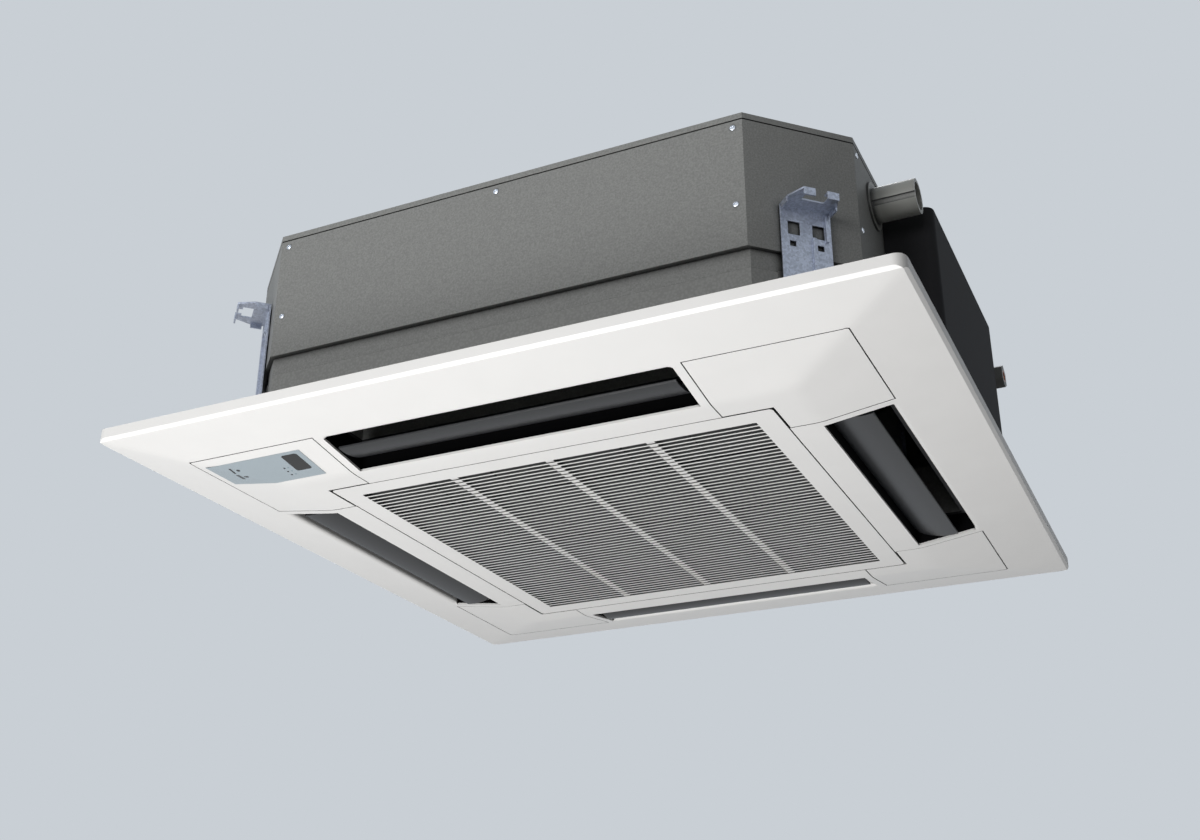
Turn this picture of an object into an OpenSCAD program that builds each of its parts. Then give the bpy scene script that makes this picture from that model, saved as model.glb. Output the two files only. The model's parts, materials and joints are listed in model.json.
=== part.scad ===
// Four-way ceiling cassette air conditioner, indoor unit with its decorative panel.
// Origin: centre of the panel in the plane of the ceiling. +X along the front edge, +Y to the
// rear, +Z up into the ceiling void. Millimetres.

/* [Decorative panel] */
// Side of the square panel
panel_side = 950; // [900:5:980]
// How far the panel hangs below the ceiling
panel_drop = 38; // [36:1:44]
// Height of the upright rim band
rim_band = 15; // [12:0.5:17]
// Side of the flat middle inside the sloped border
flat_side = 633; // [629:1:637]
// Wall thickness of the moulded panel
panel_wall = 2.6; // [2.2:0.1:3]
// Radius of the four outer corners
panel_corner_r = 13; // [9:0.5:16]
// Width of the bevel along the rim's lower edge
rim_bevel = 3; // [2:0.5:4]
// Width of the flat land that meets the ceiling
rim_land_w = 12; // [8:1:16]

/* [Air outlets] */
// Length of each outlet opening
outlet_length = 427; // [415:1:429]
// Width of each outlet opening, from the flat middle outwards
outlet_width = 76; // [74:1:78]
// Wall of the black outlet ducts
duct_wall = 2.5; // [2:0.1:3]

/* [Louvres] */
// Chord of a louvre blade
blade_chord = 55; // [50:1:58]
// Hollow of the blade's curve
blade_sag = 5; // [4:0.5:6]
// Blade thickness
blade_t = 2.5; // [2:0.1:3]
// Tilt of the blade at rest, outer edge down
blade_tilt = 12; // [8:1:14]
// Radius of the blade's end pins
louvre_pin_r = 3; // [2.5:0.1:3.5]

/* [Corner covers] */
// Distance from the centre line to the near edge of a corner cover
cover_near = 224; // [223:0.5:226]
// Distance from the centre line to the far edge of a corner cover
cover_far = 400; // [397:1:404]
// Thickness of a corner cover
cover_t = 2.5; // [2:0.1:3]
// Visible gap round a corner cover
cover_gap = 1.3; // [0.6:0.1:1.6]

/* [Intake grille] */
// Side of the intake grille
grille_side = 560; // [558:1:561]
// Gap between the grille and the panel
grille_gap = 1.5; // [1.4:0.1:2]
// Side of the slatted field
field_side = 506; // [490:1:508]
// Number of slats
slat_count = 51; // [41:1:55]
// Width of one slat
slat_w = 2.6; // [2.2:0.1:4.4]
// Depth of the slats
slat_h = 1.2; // [1:0.1:2.5]
// Number of ribs across the slats
rib_count = 3; // [1:1:5]
// Width of one rib
rib_w = 10; // [7:0.5:12]

/* [Air filter] */
// Side of the filter frame
filter_side = 522; // [512:1:524]
// Height of the filter frame
filter_h = 6; // [5:0.5:7]
// Cells of the filter's support lattice along one side
filter_cells = 6; // [4:1:8]

/* [Casing] */
// Distance between opposite faces of the casing
casing_width = 790; // [784:1:796]
// Distance between opposite corner faces of the casing
casing_across_corners = 983; // [976:1:990]
// Height of the body above the ceiling
body_height = 261; // [258:1:266]
// Height of the lid's rim
lid_h = 7; // [6:0.5:9]
// Height of the step at the foot of the upper casing
casing_step_z = 95; // [92:1:98]
// Sheet thickness of the casing
sheet_t = 1; // [0.8:0.1:1.2]
// How far the lower casing is set in below the step
step_in = 7; // [5:0.5:8]
// Thickness of the wall lining
lining_t = 10; // [6:1:12]

/* [Drain pan] */
// Height of the joint between the drain pan and the lower casing
pan_top_z = 73; // [68:1:78]
// How far the drain pan's corner faces stand inside the casing's
pan_corner_in = 5; // [2:0.5:6]
// Height of the trough floor
trough_floor_z = 42; // [38:1:46]

/* [Heat exchanger] */
// Outer side of the square heat exchanger
coil_side = 612; // [604:2:616]
// Depth of the fin pack
coil_depth = 40; // [34:1:42]
// Bend radius of the heat exchanger's outer corners
coil_corner_r = 80; // [70:5:90]
// Tube rows from bottom to top
tube_rows = 8; // [6:1:9]
// Outer radius of the tubes
tube_r = 3.5; // [3:0.1:4]

/* [Fan] */
// Outer radius of the turbo fan
fan_r = 228; // [215:1:236]
// Inner radius of the shroud's inlet
fan_inlet_r = 172; // [166:1:176]
// Number of fan blades
fan_blades = 7; // [5:1:9]
// Radius of the fan motor
motor_r = 72; // [60:1:74]
// Height of the fan motor
motor_h = 78; // [70:1:80]
// Radius of the motor shaft
shaft_r = 6; // [5:0.5:7]

/* [Hanger brackets] */
// Width of a hanger bracket
bracket_w = 59; // [56:1:62]
// Sheet thickness of a bracket
bracket_t = 2; // [1.5:0.1:2.4]
// Height of the hanging flange on the pipe side
bracket_z_right = 150; // [146:1:156]
// Height of the hanging flange on the other side
bracket_z_left = 184; // [180:1:190]
// Width of the mouth that a hanging rod passes
rod_mouth_w = 13.8; // [12:0.1:15]

/* [Control box] */
// Length of the control box along the casing
box_length = 335; // [320:1:340]
// Depth of the control box
box_depth = 58; // [50:1:60]
// Height of the control box
box_h = 200; // [190:1:202]
// Radius of the box's upright edges
box_edge_r = 12; // [8:1:16]

/* [Pipes] */
// Outer radius of the drain socket
socket_r = 20.4; // [19.5:0.1:21]
// Inner radius of the drain socket, for a 32 mm pipe
socket_bore_r = 16.1; // [15.5:0.1:16.5]
// Outer radius of the gas pipe
gas_r = 7.94; // [7.5:0.01:8.5]
// Outer radius of the liquid pipe
liquid_r = 4.76; // [4.5:0.01:5]
// Wall of the copper pipes
copper_wall = 1; // [0.8:0.1:1.1]

/* [Hidden] */
$fn = 96;

// One overrun for every cut, and the slack for parts that lie against each other
cut = 1;
seat_gap = 0.3;
run_gap = 0.05;

// Colours as in the photograph
panel_colour = "WhiteSmoke";
metal_colour = "DimGray";
zinc_colour = "LightSteelBlue";

// Panel geometry
panel_half = panel_side / 2;
flat_half = flat_side / 2;
slope_run = panel_half - flat_half;
slope_rise = panel_drop - rim_band;
slope_angle = atan(slope_rise / slope_run);
reach = panel_side;
shell_top = panel_wall - panel_drop;
rim_land_t = 4;
lip_half = grille_side / 2 + grille_gap;
lip_wall_t = 2.5;
lip_wall_h = 10;
screw_boss_at = 300;
screw_boss_r = 8;
screw_boss_land = screw_boss_at + screw_boss_r + panel_wall;
screw_seat_z = -20;
pan_bottom_z = 2;

// Outlet geometry, drawn for the front side
outlet_half = outlet_length / 2;
outlet_outer = flat_half + outlet_width;
duct_foot_in = 3.5;
duct_inner = flat_half - duct_foot_in;
duct_outer = outlet_outer + lip_wall_t + seat_gap;
duct_half = outlet_half + seat_gap;
duct_end = duct_half + duct_wall;
duct_top_z = -1;
white_lip_top_z = -6;

// Louvre geometry: the pin axis and the middle of the chord, as (y, z) on the front side
louvre_in = 23.5;
louvre_z = -21.5;
louvre_y = -flat_half - louvre_in;
chord_drop = 3.5;
blade_mid = [louvre_y - chord_drop, louvre_z - chord_drop];
blade_r = blade_chord * blade_chord / (8 * blade_sag) + blade_sag / 2;
blade_end_gap = 5.5;
blade_half = outlet_half - blade_end_gap;
cheek_r = 7;
cheek_t = 3;
bush_r = 4.95;
bush_hole_r = bush_r + run_gap;
bush_flange_r = 6.5;
bush_flange_t = 1.2;
pin_bore_r = louvre_pin_r + run_gap;
motor_body_r = 14;
motor_body_l = 19;
motor_offset = 8;
motor_ear_w = 38;
motor_ear_h = 8;
motor_ear_t = 1.5;
drive_depth = 8;

// Corner cover geometry
cover_corner_r = 3;
pocket_lift = cover_t + seat_gap;
ledge_t = 2.6;
ledge_w = 8;
ledge_wall = 3;
peg_t = 2;
peg_w = 10;
peg_at = 310;
peg_top_z = -17;

// Display geometry, on the front left corner cover
film_x = [-388, -255];
film_y = [-383, -327];
film_t = 0.4;
window_x = [-284, -262.5];
window_y = [-378, -343.5];
window_r = 3.2;
window_proud = 0.6;
lamp_r = 1.3;
lamp_fit = 0.05;
lamp_x = [-296, -290.5];
lamp_y = [-353, -345.5, -338];
board_x = [-384, -252];
board_y = [-380, -330];
board_z = -23.5;
board_t = 1.6;
board_post_r = 3;
board_post_in = 5;

// Grille geometry
grille_half = grille_side / 2;
field_half = field_side / 2;
grille_corner_r = 5;
field_wall = 3;
slat_gap = (field_side - slat_count * slat_w) / (slat_count + 1);
slat_top = slat_h - panel_drop;
rib_h = 3;
rib_top = slat_top + rib_h;
rib_pitch = field_side / (rib_count + 1);
stiff_wall_in = 3;
stiff_wall_t = 2.4;
stiff_wall_top = -25;
fitting_x = 150;
fitting_w = 10;
tongue_in = 9;
tongue_t = 2;
tongue_top_z = -21;
post_w = 20;
post_t = 4;
post_x = 200;
post_top_z = -24;
hinge_in = 14.5;
hinge_up = 6;
hinge_y = grille_half - hinge_in;
hinge_z = hinge_up - panel_drop;
hinge_pin_r = 1.5;
hinge_eye_r = 3;
arm_t = 2.5;
arm_rise = 16;
ear_t = 2.5;
ear_r = hinge_up - panel_wall;
ear_gap = 0.5;
clip_t = 0.8;
clip_w = 12;
clip_base_l = 14;
clip_back_out = 4.5;
clip_top_z = -19.2;
clip_leg_z = -31;

// Filter geometry
filter_half = filter_side / 2;
filter_border = 10;
filter_bar_w = 3;
filter_bar_h = 2.5;
filter_net_t = 0.8;
filter_z = rib_top + seat_gap;
filter_field = filter_side - 2 * filter_border;
filter_cell = (filter_field - (filter_cells - 1) * filter_bar_w) / filter_cells;

// Casing geometry
casing_half = casing_width / 2;
casing_diag = casing_across_corners / 2;
casing_side = casing_diag * sqrt(2) - casing_half;
corner_at = floor(casing_diag * sqrt(2)) / 2;
lid_z = body_height - lid_h;
lid_groove = 1.8;
lower_half = casing_half - step_in;
corner_step_less = 2;
step_in_corner = step_in - corner_step_less;
seam_reach = step_in + step_in_corner;
lower_diag = casing_diag - step_in_corner;
pan_diag = casing_diag - pan_corner_in;
skirt_gap = 0.3;
skirt_half = casing_half - sheet_t - skirt_gap;
skirt_diag = casing_diag - sheet_t - skirt_gap;
skirt_depth = 25;
skirt_z = body_height - skirt_depth;
top_lining_t = 12;
top_lining_z = body_height - sheet_t - top_lining_t;
lining_hole_r = 114;
casing_screw_in = 11;
casing_screw_u = casing_side - casing_screw_in;
casing_screw_top_z = skirt_z + 7.5;
casing_screw_rise = 52;
casing_screw_low_z = casing_step_z + casing_screw_rise;
casing_screw_r = 2;
casing_screw_head_r = 3.4;
casing_screw_head_h = 1.6;
casing_screw_l = 8;
screw_fit = 0.02;
strap_half_w = 32;
strap_z = 8;
wall_opening_share = 0.9;

// Drain pan geometry
slot_in = 1.5;
slot_outer_wall = 10;
slot_outer = lower_half - slot_outer_wall;
trough_side_gap = 6;
trough_out = coil_side / 2 + trough_side_gap;
trough_in = coil_side / 2 - coil_depth - trough_side_gap;
pan_inner_wall = 10;
pan_opening = trough_in - pan_inner_wall;
trough_corner_r = coil_corner_r - coil_depth - trough_side_gap;
pan_opening_r = trough_corner_r - pan_inner_wall;
bell_recess_w = 7;
bell_recess_z = 8;
coil_z = 50;
block_w = 20;
block_u = 150;
pump_in = [12.5, 57.5];
pump_x = corner_at - pump_in[0];
pump_y = pump_in[1] - corner_at;
pump_sump_r = 34;
pump_sump_z = 30;
float_in = [47.5, 12.5];
float_x = corner_at - float_in[0];
float_y = float_in[1] - corner_at;
float_sump_r = 16;
float_sump_z = 40;
panel_screw_r = 2.5;
panel_screw_top_z = 28;
panel_screw_head_r = 5;
panel_screw_head_h = 3;

// Bell mouth geometry
bell_sheet = 2;
bell_r = 33;
bell_neck_gap = 7;
bell_neck_r = fan_inlet_r - bell_neck_gap;
bell_z = bell_recess_z - bell_sheet;
bell_neck_h = 7;

// Fan geometry
shroud_t = 2.5;
shroud_r = 50;
shroud_z = 52;
shroud_neck_z = 42;
blade_in_r = 158;
blade_arc_r = 110;
blade_wall = 4;
dome_top_r = 114;
dome_low_r = 90;
hub_r = 20;
dome_wall = 3;
fan_rim_in = 2;
nut_af = 17;
nut_h = 8;

// Motor geometry
motor_lug_r = 95;
motor_lug_w = 22;
motor_lug_t = 3;
motor_drop = 18;
motor_top_z = body_height - motor_drop;
motor_z = motor_top_z - motor_h;
motor_nose_r = 16;
motor_nose_h = 7;
shaft_top_in = 13;
shaft_top_z = motor_top_z - shaft_top_in;
dome_drop = 18;
dome_z = motor_z - dome_drop;
dome_h = 49;
fan_back_z = dome_z + dome_h;
hub_l = 12;
hub_z = dome_z - hub_l;
shaft_out = 11;
shaft_low_z = hub_z - shaft_out;
rubber_r = 10;
stud_r = 3;
stud_fit = 0.05;
stud_l = 9;
stud_low_z = motor_top_z - stud_l;
stud_nut_af = 10;
stud_nut_h = 4;

// Heat exchanger geometry
coil_half = coil_side / 2;
coil_top_z = top_lining_z - seat_gap;
coil_end_at = 215;
end_plate_t = 1.5;
end_plate_over = 5;
tube_column_gap = 20;
tube_pitch = (coil_top_z - coil_z) / tube_rows;
coil_mid = coil_half - coil_depth / 2;

// Pipe geometry
gas_y = 245;
gas_drop = 61;
gas_z = body_height - gas_drop;
gas_end_x = 449;
gas_header = [286, 245];
gas_header_r = 11;
liquid_y = 275;
liquid_drop = 46;
liquid_z = body_height - liquid_drop;
liquid_end_x = 435;
liquid_header = [245, 286];
liquid_header_r = 8;
header_low = 12;
header_top = 11.7;
header_z = [coil_z + header_low, coil_top_z - header_top];
gas_nut_af = 29;
liquid_nut_af = 22;
flare_nut_l = 23;
pipe_plate_y = [216, 292];
pipe_plate_low = 26;
pipe_plate_up = 19;
pipe_plate_z = [gas_z - pipe_plate_low, liquid_z + pipe_plate_up];
pipe_plate_t = 2;
pipe_hole_fit = 0.4;
casing_pipe_slack = 5;

// Drain socket and hose geometry
socket_y = -227;
socket_drop = 47;
socket_z = body_height - socket_drop;
socket_end_x = 446.5;
collar_r = 28;
collar_t = 2.4;
socket_boss_r = 16;
socket_boss_l = 11;
socket_floor_t = 4;
groove_w = 7;
groove_depth = 2.6;
groove_turn = 22;
hose_r = 13;
hose_bore_r = 9.3;
hose_bend_r = 23;
pump_nozzle_z = 90;
pump_nozzle_r = 9;
pump_nozzle_bore_r = 7;
hose_lead = 32;
hose_start_y = pump_y + hose_lead;

// Pump geometry
pump_r = 24;
pump_wall = 4;
pump_z = [78, 102];
suction_r = 14;
suction_bore_r = 9;
suction_z = 45;
pump_motor_r = 27;
pump_motor_z = [104, 150];
pump_neck_r = 12;
impeller_r = 18;
impeller_z = [84, 96];
impeller_disc_t = 2;
pump_shaft_low_z = impeller_z[0] + impeller_disc_t;
vane_t = 2;
pump_shaft_r = 2;
pump_shaft_top_z = 130;
bracket_plate_t = 1.5;
pump_plate_reach = 66.5;
pump_plate_d = [casing_diag - pump_plate_reach,
    casing_diag - sheet_t - skirt_gap - lining_t - seat_gap];
pump_plate_s = [-45, 60];

// Float switch geometry
stem_r = 3;
stem_z = 46;
stop_r = 6;
stop_t = 2;
float_r = 10;
float_z = stem_z + stop_t + seat_gap;
float_h = 15;
float_travel = 14;
float_stop_z = float_z + float_h + float_travel + stop_t;

// Hanger bracket geometry, across the corner face and outwards from it
bracket_off = 1.5;
bracket_d = casing_diag + bracket_off;
bracket_half = bracket_w / 2;
flange_d = bracket_d + 19;
notch_d = flange_d + 13;
tip_d = flange_d + 20.5;
notch_half = 12.9;
tip_half = 20.3;
tab_drop = 7;
side_lip_d = [bracket_d + 4, flange_d - 1];
side_lip_drop = 5;
bracket_window_s = [7.2, 21.5];
bracket_window_z = [-33.2, -17.2];
bracket_slot_s = [12.5, 20];
bracket_slot_z = [-47.5, -41];
bracket_rib_s = [6, 10.5];
bracket_rib_rise = 3;
bracket_rib_top = -34;
gusset_s = [22, 25];
gusset_z = [-36, -6];
gusset_t = 3;
bracket_foot_z = 12;
foot_half = 20;
foot_h = 24;
bracket_bolt_s = 12;
bracket_bolt_z = 24;
bracket_bolt_r = 3;
bracket_bolt_in = 12;
bracket_bolt_af = 10;
bracket_bolt_head_h = 4;

// Control box geometry
box_start_y = -190;
box_y = [box_start_y, box_start_y + box_length];
box_top_z = 222;
box_z = box_top_z - box_h;
box_wall = 1.5;
tray_h = 9;
tray_wall = 1.2;
pcb_in = 12;
pcb_off = 6;
pcb_t = 1.6;
relay = [14, 28, 18];
relay_pitch = 40;
relay_count = 5;
capacitor_r = 10;
capacitor_h = 26;
standoff_r = 3;
terminal = [20, 60, 24];
terminal_ways = 5;
terminal_screw_r = 3;
terminal_screw_h = 2;
terminal_up = 12;

module each_side() for (k = [0:3]) rotate([0, 0, 90 * k]) children();

// A drawing in (y, z) carried along X, centred
module along_x(length) rotate([90, 0, 90]) linear_extrude(length, center = true) children();

// A box given by its two corners
module box(low, high) translate(low) cube(high - low);

module slab(low_z, high_z) translate([0, 0, low_z]) linear_extrude(high_z - low_z) children();

module rod_x(radius, low_x, high_x) translate([low_x, 0, 0]) rotate([0, 90, 0])
    cylinder(r = radius, h = high_x - low_x);

module hexagon(across_flats) circle(r = across_flats / sqrt(3), $fn = 6);

module rounded_square(half, radius) {
    square([2 * half, 2 * (half - radius)], center = true);
    square([2 * (half - radius), 2 * half], center = true);
    for (x = [-1, 1], y = [-1, 1]) translate([x, y] * (half - radius)) circle(radius);
}

// Eight-sided plan: distance to its faces and to its corner faces
module octagon(half, diag) intersection() {
    square(2 * half, center = true);
    rotate(45) square(2 * diag, center = true);
}

module octagon_ring(half, diag, wall) difference() {
    octagon(half, diag);
    octagon(half - wall, diag - wall);
}

// Everything above the panel's outer face, moved up by lift: flat in the middle, then sloped
module above_skin(lift) intersection() {
    translate([-reach, -reach, lift - panel_drop]) cube([2 * reach, 2 * reach, reach]);
    skin_side(0, lift);
    skin_side(1, lift);
    skin_side(2, lift);
    skin_side(3, lift);
}

module skin_side(k, lift) rotate([0, 0, 90 * k]) translate([0, -flat_half, lift - panel_drop])
    rotate([-slope_angle, 0, 0]) translate([-reach, -reach, 0]) cube([2 * reach, 2 * reach, reach]);

// Everything inside the bevel along the rim's lower edge
module inside_bevel() intersection() {
    bevel_side(0);
    bevel_side(1);
    bevel_side(2);
    bevel_side(3);
}

module bevel_side(k) rotate([0, 0, 90 * k]) translate([0, -panel_half, rim_bevel - rim_band])
    rotate([45, 0, 0]) translate([-reach, 0, -reach]) cube([2 * reach, 2 * reach, 2 * reach]);

module between_skins(low, high) difference() {
    intersection() {
        above_skin(low);
        slab(-2 * panel_drop, panel_drop) children();
    }
    above_skin(high);
}

// Plan of a corner cover at (+x, +y), shrunk by inset
module cover_plan(inset) {
    near = cover_near + inset;
    notch = lip_half + inset;
    far = cover_far - inset;
    difference() {
        polygon([[near, notch], [notch, notch], [notch, near], [far, near], [far, far], [near, far]]);
        translate([far, far] - [1, 1] * cover_corner_r) difference() {
            square(cover_corner_r + cut);
            circle(cover_corner_r);
        }
    }
}

module pocket_hole_plan() difference() {
    cover_plan(ledge_w);
    square(screw_boss_land);
}

module decorative_panel() color(panel_colour) {
    panel_shell();
    for (side = [-1, 1]) translate([side * fitting_x, 0, 0]) along_x(fitting_w) hinge_arm();
}

module panel_shell() difference() {
    union() {
        difference() {
            intersection() {
                above_skin(0);
                inside_bevel();
                slab(-panel_drop, 0) rounded_square(panel_half, panel_corner_r);
            }
            intersection() {
                above_skin(panel_wall);
                slab(-panel_drop, cut)
                    rounded_square(panel_half - panel_wall, panel_corner_r - panel_wall);
            }
        }
        slab(-rim_land_t, 0) difference() {
            rounded_square(panel_half, panel_corner_r);
            rounded_square(panel_half - rim_land_w, panel_corner_r);
        }
        slab(-panel_drop, lip_wall_h - panel_drop) difference() {
            square(2 * (lip_half + lip_wall_t), center = true);
            square(2 * lip_half, center = true);
        }
        each_side() intersection() {
            above_skin(0);
            box([-outlet_half, -outlet_outer - lip_wall_t, -panel_drop],
                [outlet_half, -outlet_outer, white_lip_top_z]);
        }
        each_side() {
            between_skins(0, pocket_lift + ledge_t) cover_plan(-ledge_wall);
            translate([screw_boss_at, screw_boss_at, 0])
                slab(pocket_lift - panel_drop, pan_bottom_z - seat_gap) circle(screw_boss_r);
        }
    }
    slab(-panel_drop - cut, cut) square(2 * lip_half, center = true);
    each_side() box([-outlet_half, -outlet_outer, -panel_drop - cut],
        [outlet_half, -flat_half, cut]);
    each_side() difference() {
        slab(-panel_drop - cut, 0) cover_plan(0);
        above_skin(pocket_lift);
    }
    each_side() slab(-panel_drop - cut, 0) pocket_hole_plan();
    each_side() translate([screw_boss_at, screw_boss_at, 0]) {
        slab(-panel_drop - cut, pan_bottom_z + cut) circle(panel_screw_r + seat_gap);
        slab(-panel_drop - cut, screw_seat_z) circle(panel_screw_head_r + 2 * seat_gap);
    }
}

// Goose-neck arm that reaches from the panel's lip over the grille's edge to the hinge pin
module hinge_arm() difference() {
    union() {
        translate([hinge_y, hinge_z]) circle(hinge_eye_r);
        translate([hinge_y - hinge_pin_r, hinge_z])
            square([2 * hinge_pin_r, arm_rise + arm_t]);
        translate([hinge_y - hinge_pin_r, hinge_z + arm_rise])
            square([lip_half + lip_wall_t - hinge_y + hinge_pin_r, arm_t]);
        translate([lip_half, lip_wall_h - panel_drop - cut])
            square([lip_wall_t, hinge_z + arm_rise + arm_t - lip_wall_h + panel_drop + cut]);
    }
    translate([hinge_y, hinge_z]) circle(hinge_pin_r + screw_fit);
}

// A corner cover with its two friction pegs, drawn at (+x, +y)
module corner_cover() {
    between_skins(0, cover_t) cover_plan(cover_gap);
    intersection() {
        above_skin(cover_t / 2);
        for (flip = [0, 1]) mirror([flip, -flip, 0])
            box([cover_far - ledge_w - seat_gap - peg_t, peg_at - peg_w / 2, -panel_drop],
                [cover_far - ledge_w - seat_gap, peg_at + peg_w / 2, peg_top_z]);
    }
}

module plain_corner_cover(k) color(panel_colour) rotate([0, 0, 90 * k]) corner_cover();
module corner_cover_front_right() plain_corner_cover(3);
module corner_cover_rear_right() plain_corner_cover(0);
module corner_cover_rear_left() plain_corner_cover(1);

module window_plan(grow) translate([window_x[0] - grow, window_y[0] - grow]) {
    size = [window_x[1] - window_x[0], window_y[1] - window_y[0]] + [2, 2] * grow;
    radius = window_r + grow;
    translate([radius, 0]) square(size - [2 * radius, 0]);
    translate([0, radius]) square(size - [0, 2 * radius]);
    for (x = [radius, size[0] - radius], y = [radius, size[1] - radius])
        translate([x, y]) circle(radius);
}

module lamp_plan(radius) for (x = lamp_x, y = lamp_y) translate([x, y]) circle(radius);

module corner_cover_front_left() color(panel_colour) difference() {
    union() {
        rotate([0, 0, 180]) corner_cover();
        intersection() {
            above_skin(cover_t / 2);
            slab(-panel_drop, board_z) for (x = board_x, y = board_y) translate([x, y]
                + board_post_in * [x == board_x[0] ? 1 : -1, y == board_y[0] ? 1 : -1])
                circle(board_post_r);
        }
    }
    slab(-panel_drop - cut, board_z - board_t) window_plan(run_gap);
    slab(-panel_drop - cut, board_z - board_t) lamp_plan(lamp_r + lamp_fit);
}

module display_film() color("LightSteelBlue") difference() {
    between_skins(-film_t, 0) translate([film_x[0], film_y[0]])
        square([film_x[1] - film_x[0], film_y[1] - film_y[0]]);
    slab(-panel_drop - cut, 0) window_plan(run_gap);
    slab(-panel_drop - cut, 0) lamp_plan(lamp_r + lamp_fit);
}

module receiver_window() color("Black") intersection() {
    above_skin(-window_proud);
    slab(-2 * panel_drop, board_z) window_plan(0);
}

module indicator_lamps() color("DarkSlateGray") intersection() {
    above_skin(-window_proud);
    slab(-2 * panel_drop, board_z) lamp_plan(lamp_r);
}

module display_board() color("DarkGreen") slab(board_z, board_z + board_t)
    translate([board_x[0], board_y[0]]) square([board_x[1] - board_x[0], board_y[1] - board_y[0]]);

module intake_grille() color(panel_colour) {
    slab(-panel_drop, shell_top) difference() {
        rounded_square(grille_half, grille_corner_r);
        square(field_side, center = true);
    }
    slab(-panel_drop, slat_top) difference() {
        square(field_side + 2 * field_wall, center = true);
        for (i = [0:slat_count]) translate([-field_half, i * (slat_gap + slat_w) - field_half])
            square([field_side, slat_gap]);
    }
    for (i = [1:rib_count]) translate([i * rib_pitch - field_half, 0, 0])
        box([-rib_w / 2, -field_half - field_wall, slat_top],
            [rib_w / 2, field_half + field_wall, rib_top]);
    slab(shell_top, stiff_wall_top) difference() {
        square(2 * (grille_half - stiff_wall_in), center = true);
        square(2 * (grille_half - stiff_wall_in - stiff_wall_t), center = true);
        for (side = [-1, 1]) translate([side * fitting_x - fitting_w / 2 - ear_gap, 0])
            square([fitting_w + 2 * ear_gap, grille_half]);
    }
    each_side() for (side = [-1, 1]) box(
        [side * post_x - post_w / 2, filter_half + seat_gap, shell_top],
        [side * post_x + post_w / 2, filter_half + seat_gap + post_t, post_top_z]);
    for (side = [-1, 1]) translate([side * fitting_x, 0, 0]) {
        box([-fitting_w / 2, tongue_in - grille_half, shell_top],
            [fitting_w / 2, tongue_in + tongue_t - grille_half, tongue_top_z]);
        for (ear = [-1, 1]) translate([ear * (fitting_w / 2 + ear_gap + ear_t / 2), 0, 0])
            along_x(ear_t) hinge_ear();
    }
}

module hinge_ear() difference() {
    union() {
        translate([hinge_y, hinge_z]) circle(ear_r);
        translate([hinge_y - ear_r, shell_top - cut]) square([2 * ear_r, ear_r + cut]);
    }
    translate([hinge_y, hinge_z]) circle(hinge_pin_r + run_gap);
}

module grille_hinge_pins() color("Silver") for (side = [-1, 1])
    translate([side * fitting_x, hinge_y, hinge_z])
        rod_x(hinge_pin_r, -fitting_w / 2 - ear_gap - ear_t, fitting_w / 2 + ear_gap + ear_t);

// Spring clips that grip the grille's tongues
module grille_clips() color("Silver") for (side = [-1, 1]) translate([side * fitting_x, 0, 0])
    along_x(clip_w) {
        back = -lip_half - clip_back_out;
        leg_out = tongue_in - grille_half - seat_gap;
        leg_in = tongue_in + tongue_t - grille_half + seat_gap;
        translate([back - clip_base_l, shell_top]) square([clip_base_l, clip_t]);
        translate([back - clip_t, shell_top]) square([clip_t, clip_top_z - shell_top]);
        translate([back - clip_t, clip_top_z - clip_t])
            square([leg_in + clip_t - back + clip_t, clip_t]);
        for (y = [leg_out - clip_t, leg_in]) translate([y, clip_leg_z])
            square([clip_t, clip_top_z - clip_leg_z]);
    }

module filter_frame() color("SlateGray") {
    slab(filter_z, filter_z + filter_h) difference() {
        square(filter_side, center = true);
        square(filter_field, center = true);
    }
    slab(filter_z, filter_z + filter_bar_h) difference() {
        square(filter_side, center = true);
        for (i = [0:filter_cells - 1], j = [0:filter_cells - 1])
            translate([i, j] * (filter_cell + filter_bar_w) - [1, 1] * filter_field / 2)
                square(filter_cell);
    }
}

module filter_net() color("DimGray")
    slab(filter_z + filter_bar_h, filter_z + filter_bar_h + filter_net_t)
        square(filter_field, center = true);

// Section of a louvre blade in (y, z): an arc of the blade's thickness on its tilted chord
module blade_section() translate(blade_mid) rotate(blade_tilt) intersection() {
    translate([0, blade_r - blade_sag]) difference() {
        circle(blade_r, $fn = 360);
        circle(blade_r - blade_t, $fn = 360);
    }
    translate([-blade_chord / 2, -blade_sag]) square([blade_chord, blade_sag + blade_t]);
}

module cheek_section() intersection() {
    translate([louvre_y, louvre_z]) circle(cheek_r);
    translate(blade_mid) rotate(blade_tilt) translate([0, blade_r - blade_sag])
        circle(blade_r - blade_t / 2, $fn = 360);
}

module louvre(k) color("SlateGray") rotate([0, 0, 90 * k]) {
    along_x(2 * blade_half) blade_section();
    for (side = [-1, 1]) translate([side * (blade_half - cheek_t / 2), 0, 0])
        along_x(cheek_t) cheek_section();
    translate([0, louvre_y, louvre_z]) {
        rod_x(louvre_pin_r, -duct_end - bush_flange_t, -blade_half + cheek_t / 2);
        rod_x(louvre_pin_r, blade_half - cheek_t / 2, duct_end + drive_depth);
    }
}
module louvre_front() louvre(0);
module louvre_right() louvre(1);
module louvre_rear() louvre(2);
module louvre_left() louvre(3);

// Black inner duct of each outlet, standing on the panel
module outlet_ducts() color("Black") each_side() difference() {
    intersection() {
        above_skin(panel_wall);
        box([-duct_end, -duct_outer - duct_wall, -panel_drop],
            [duct_end, duct_wall - duct_inner, duct_top_z]);
    }
    box([-duct_half, -duct_outer, -panel_drop - cut], [duct_half, -duct_inner, duct_top_z + cut]);
    translate([0, louvre_y, louvre_z]) rod_x(bush_hole_r, -duct_end - cut, duct_end + cut);
}

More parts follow.
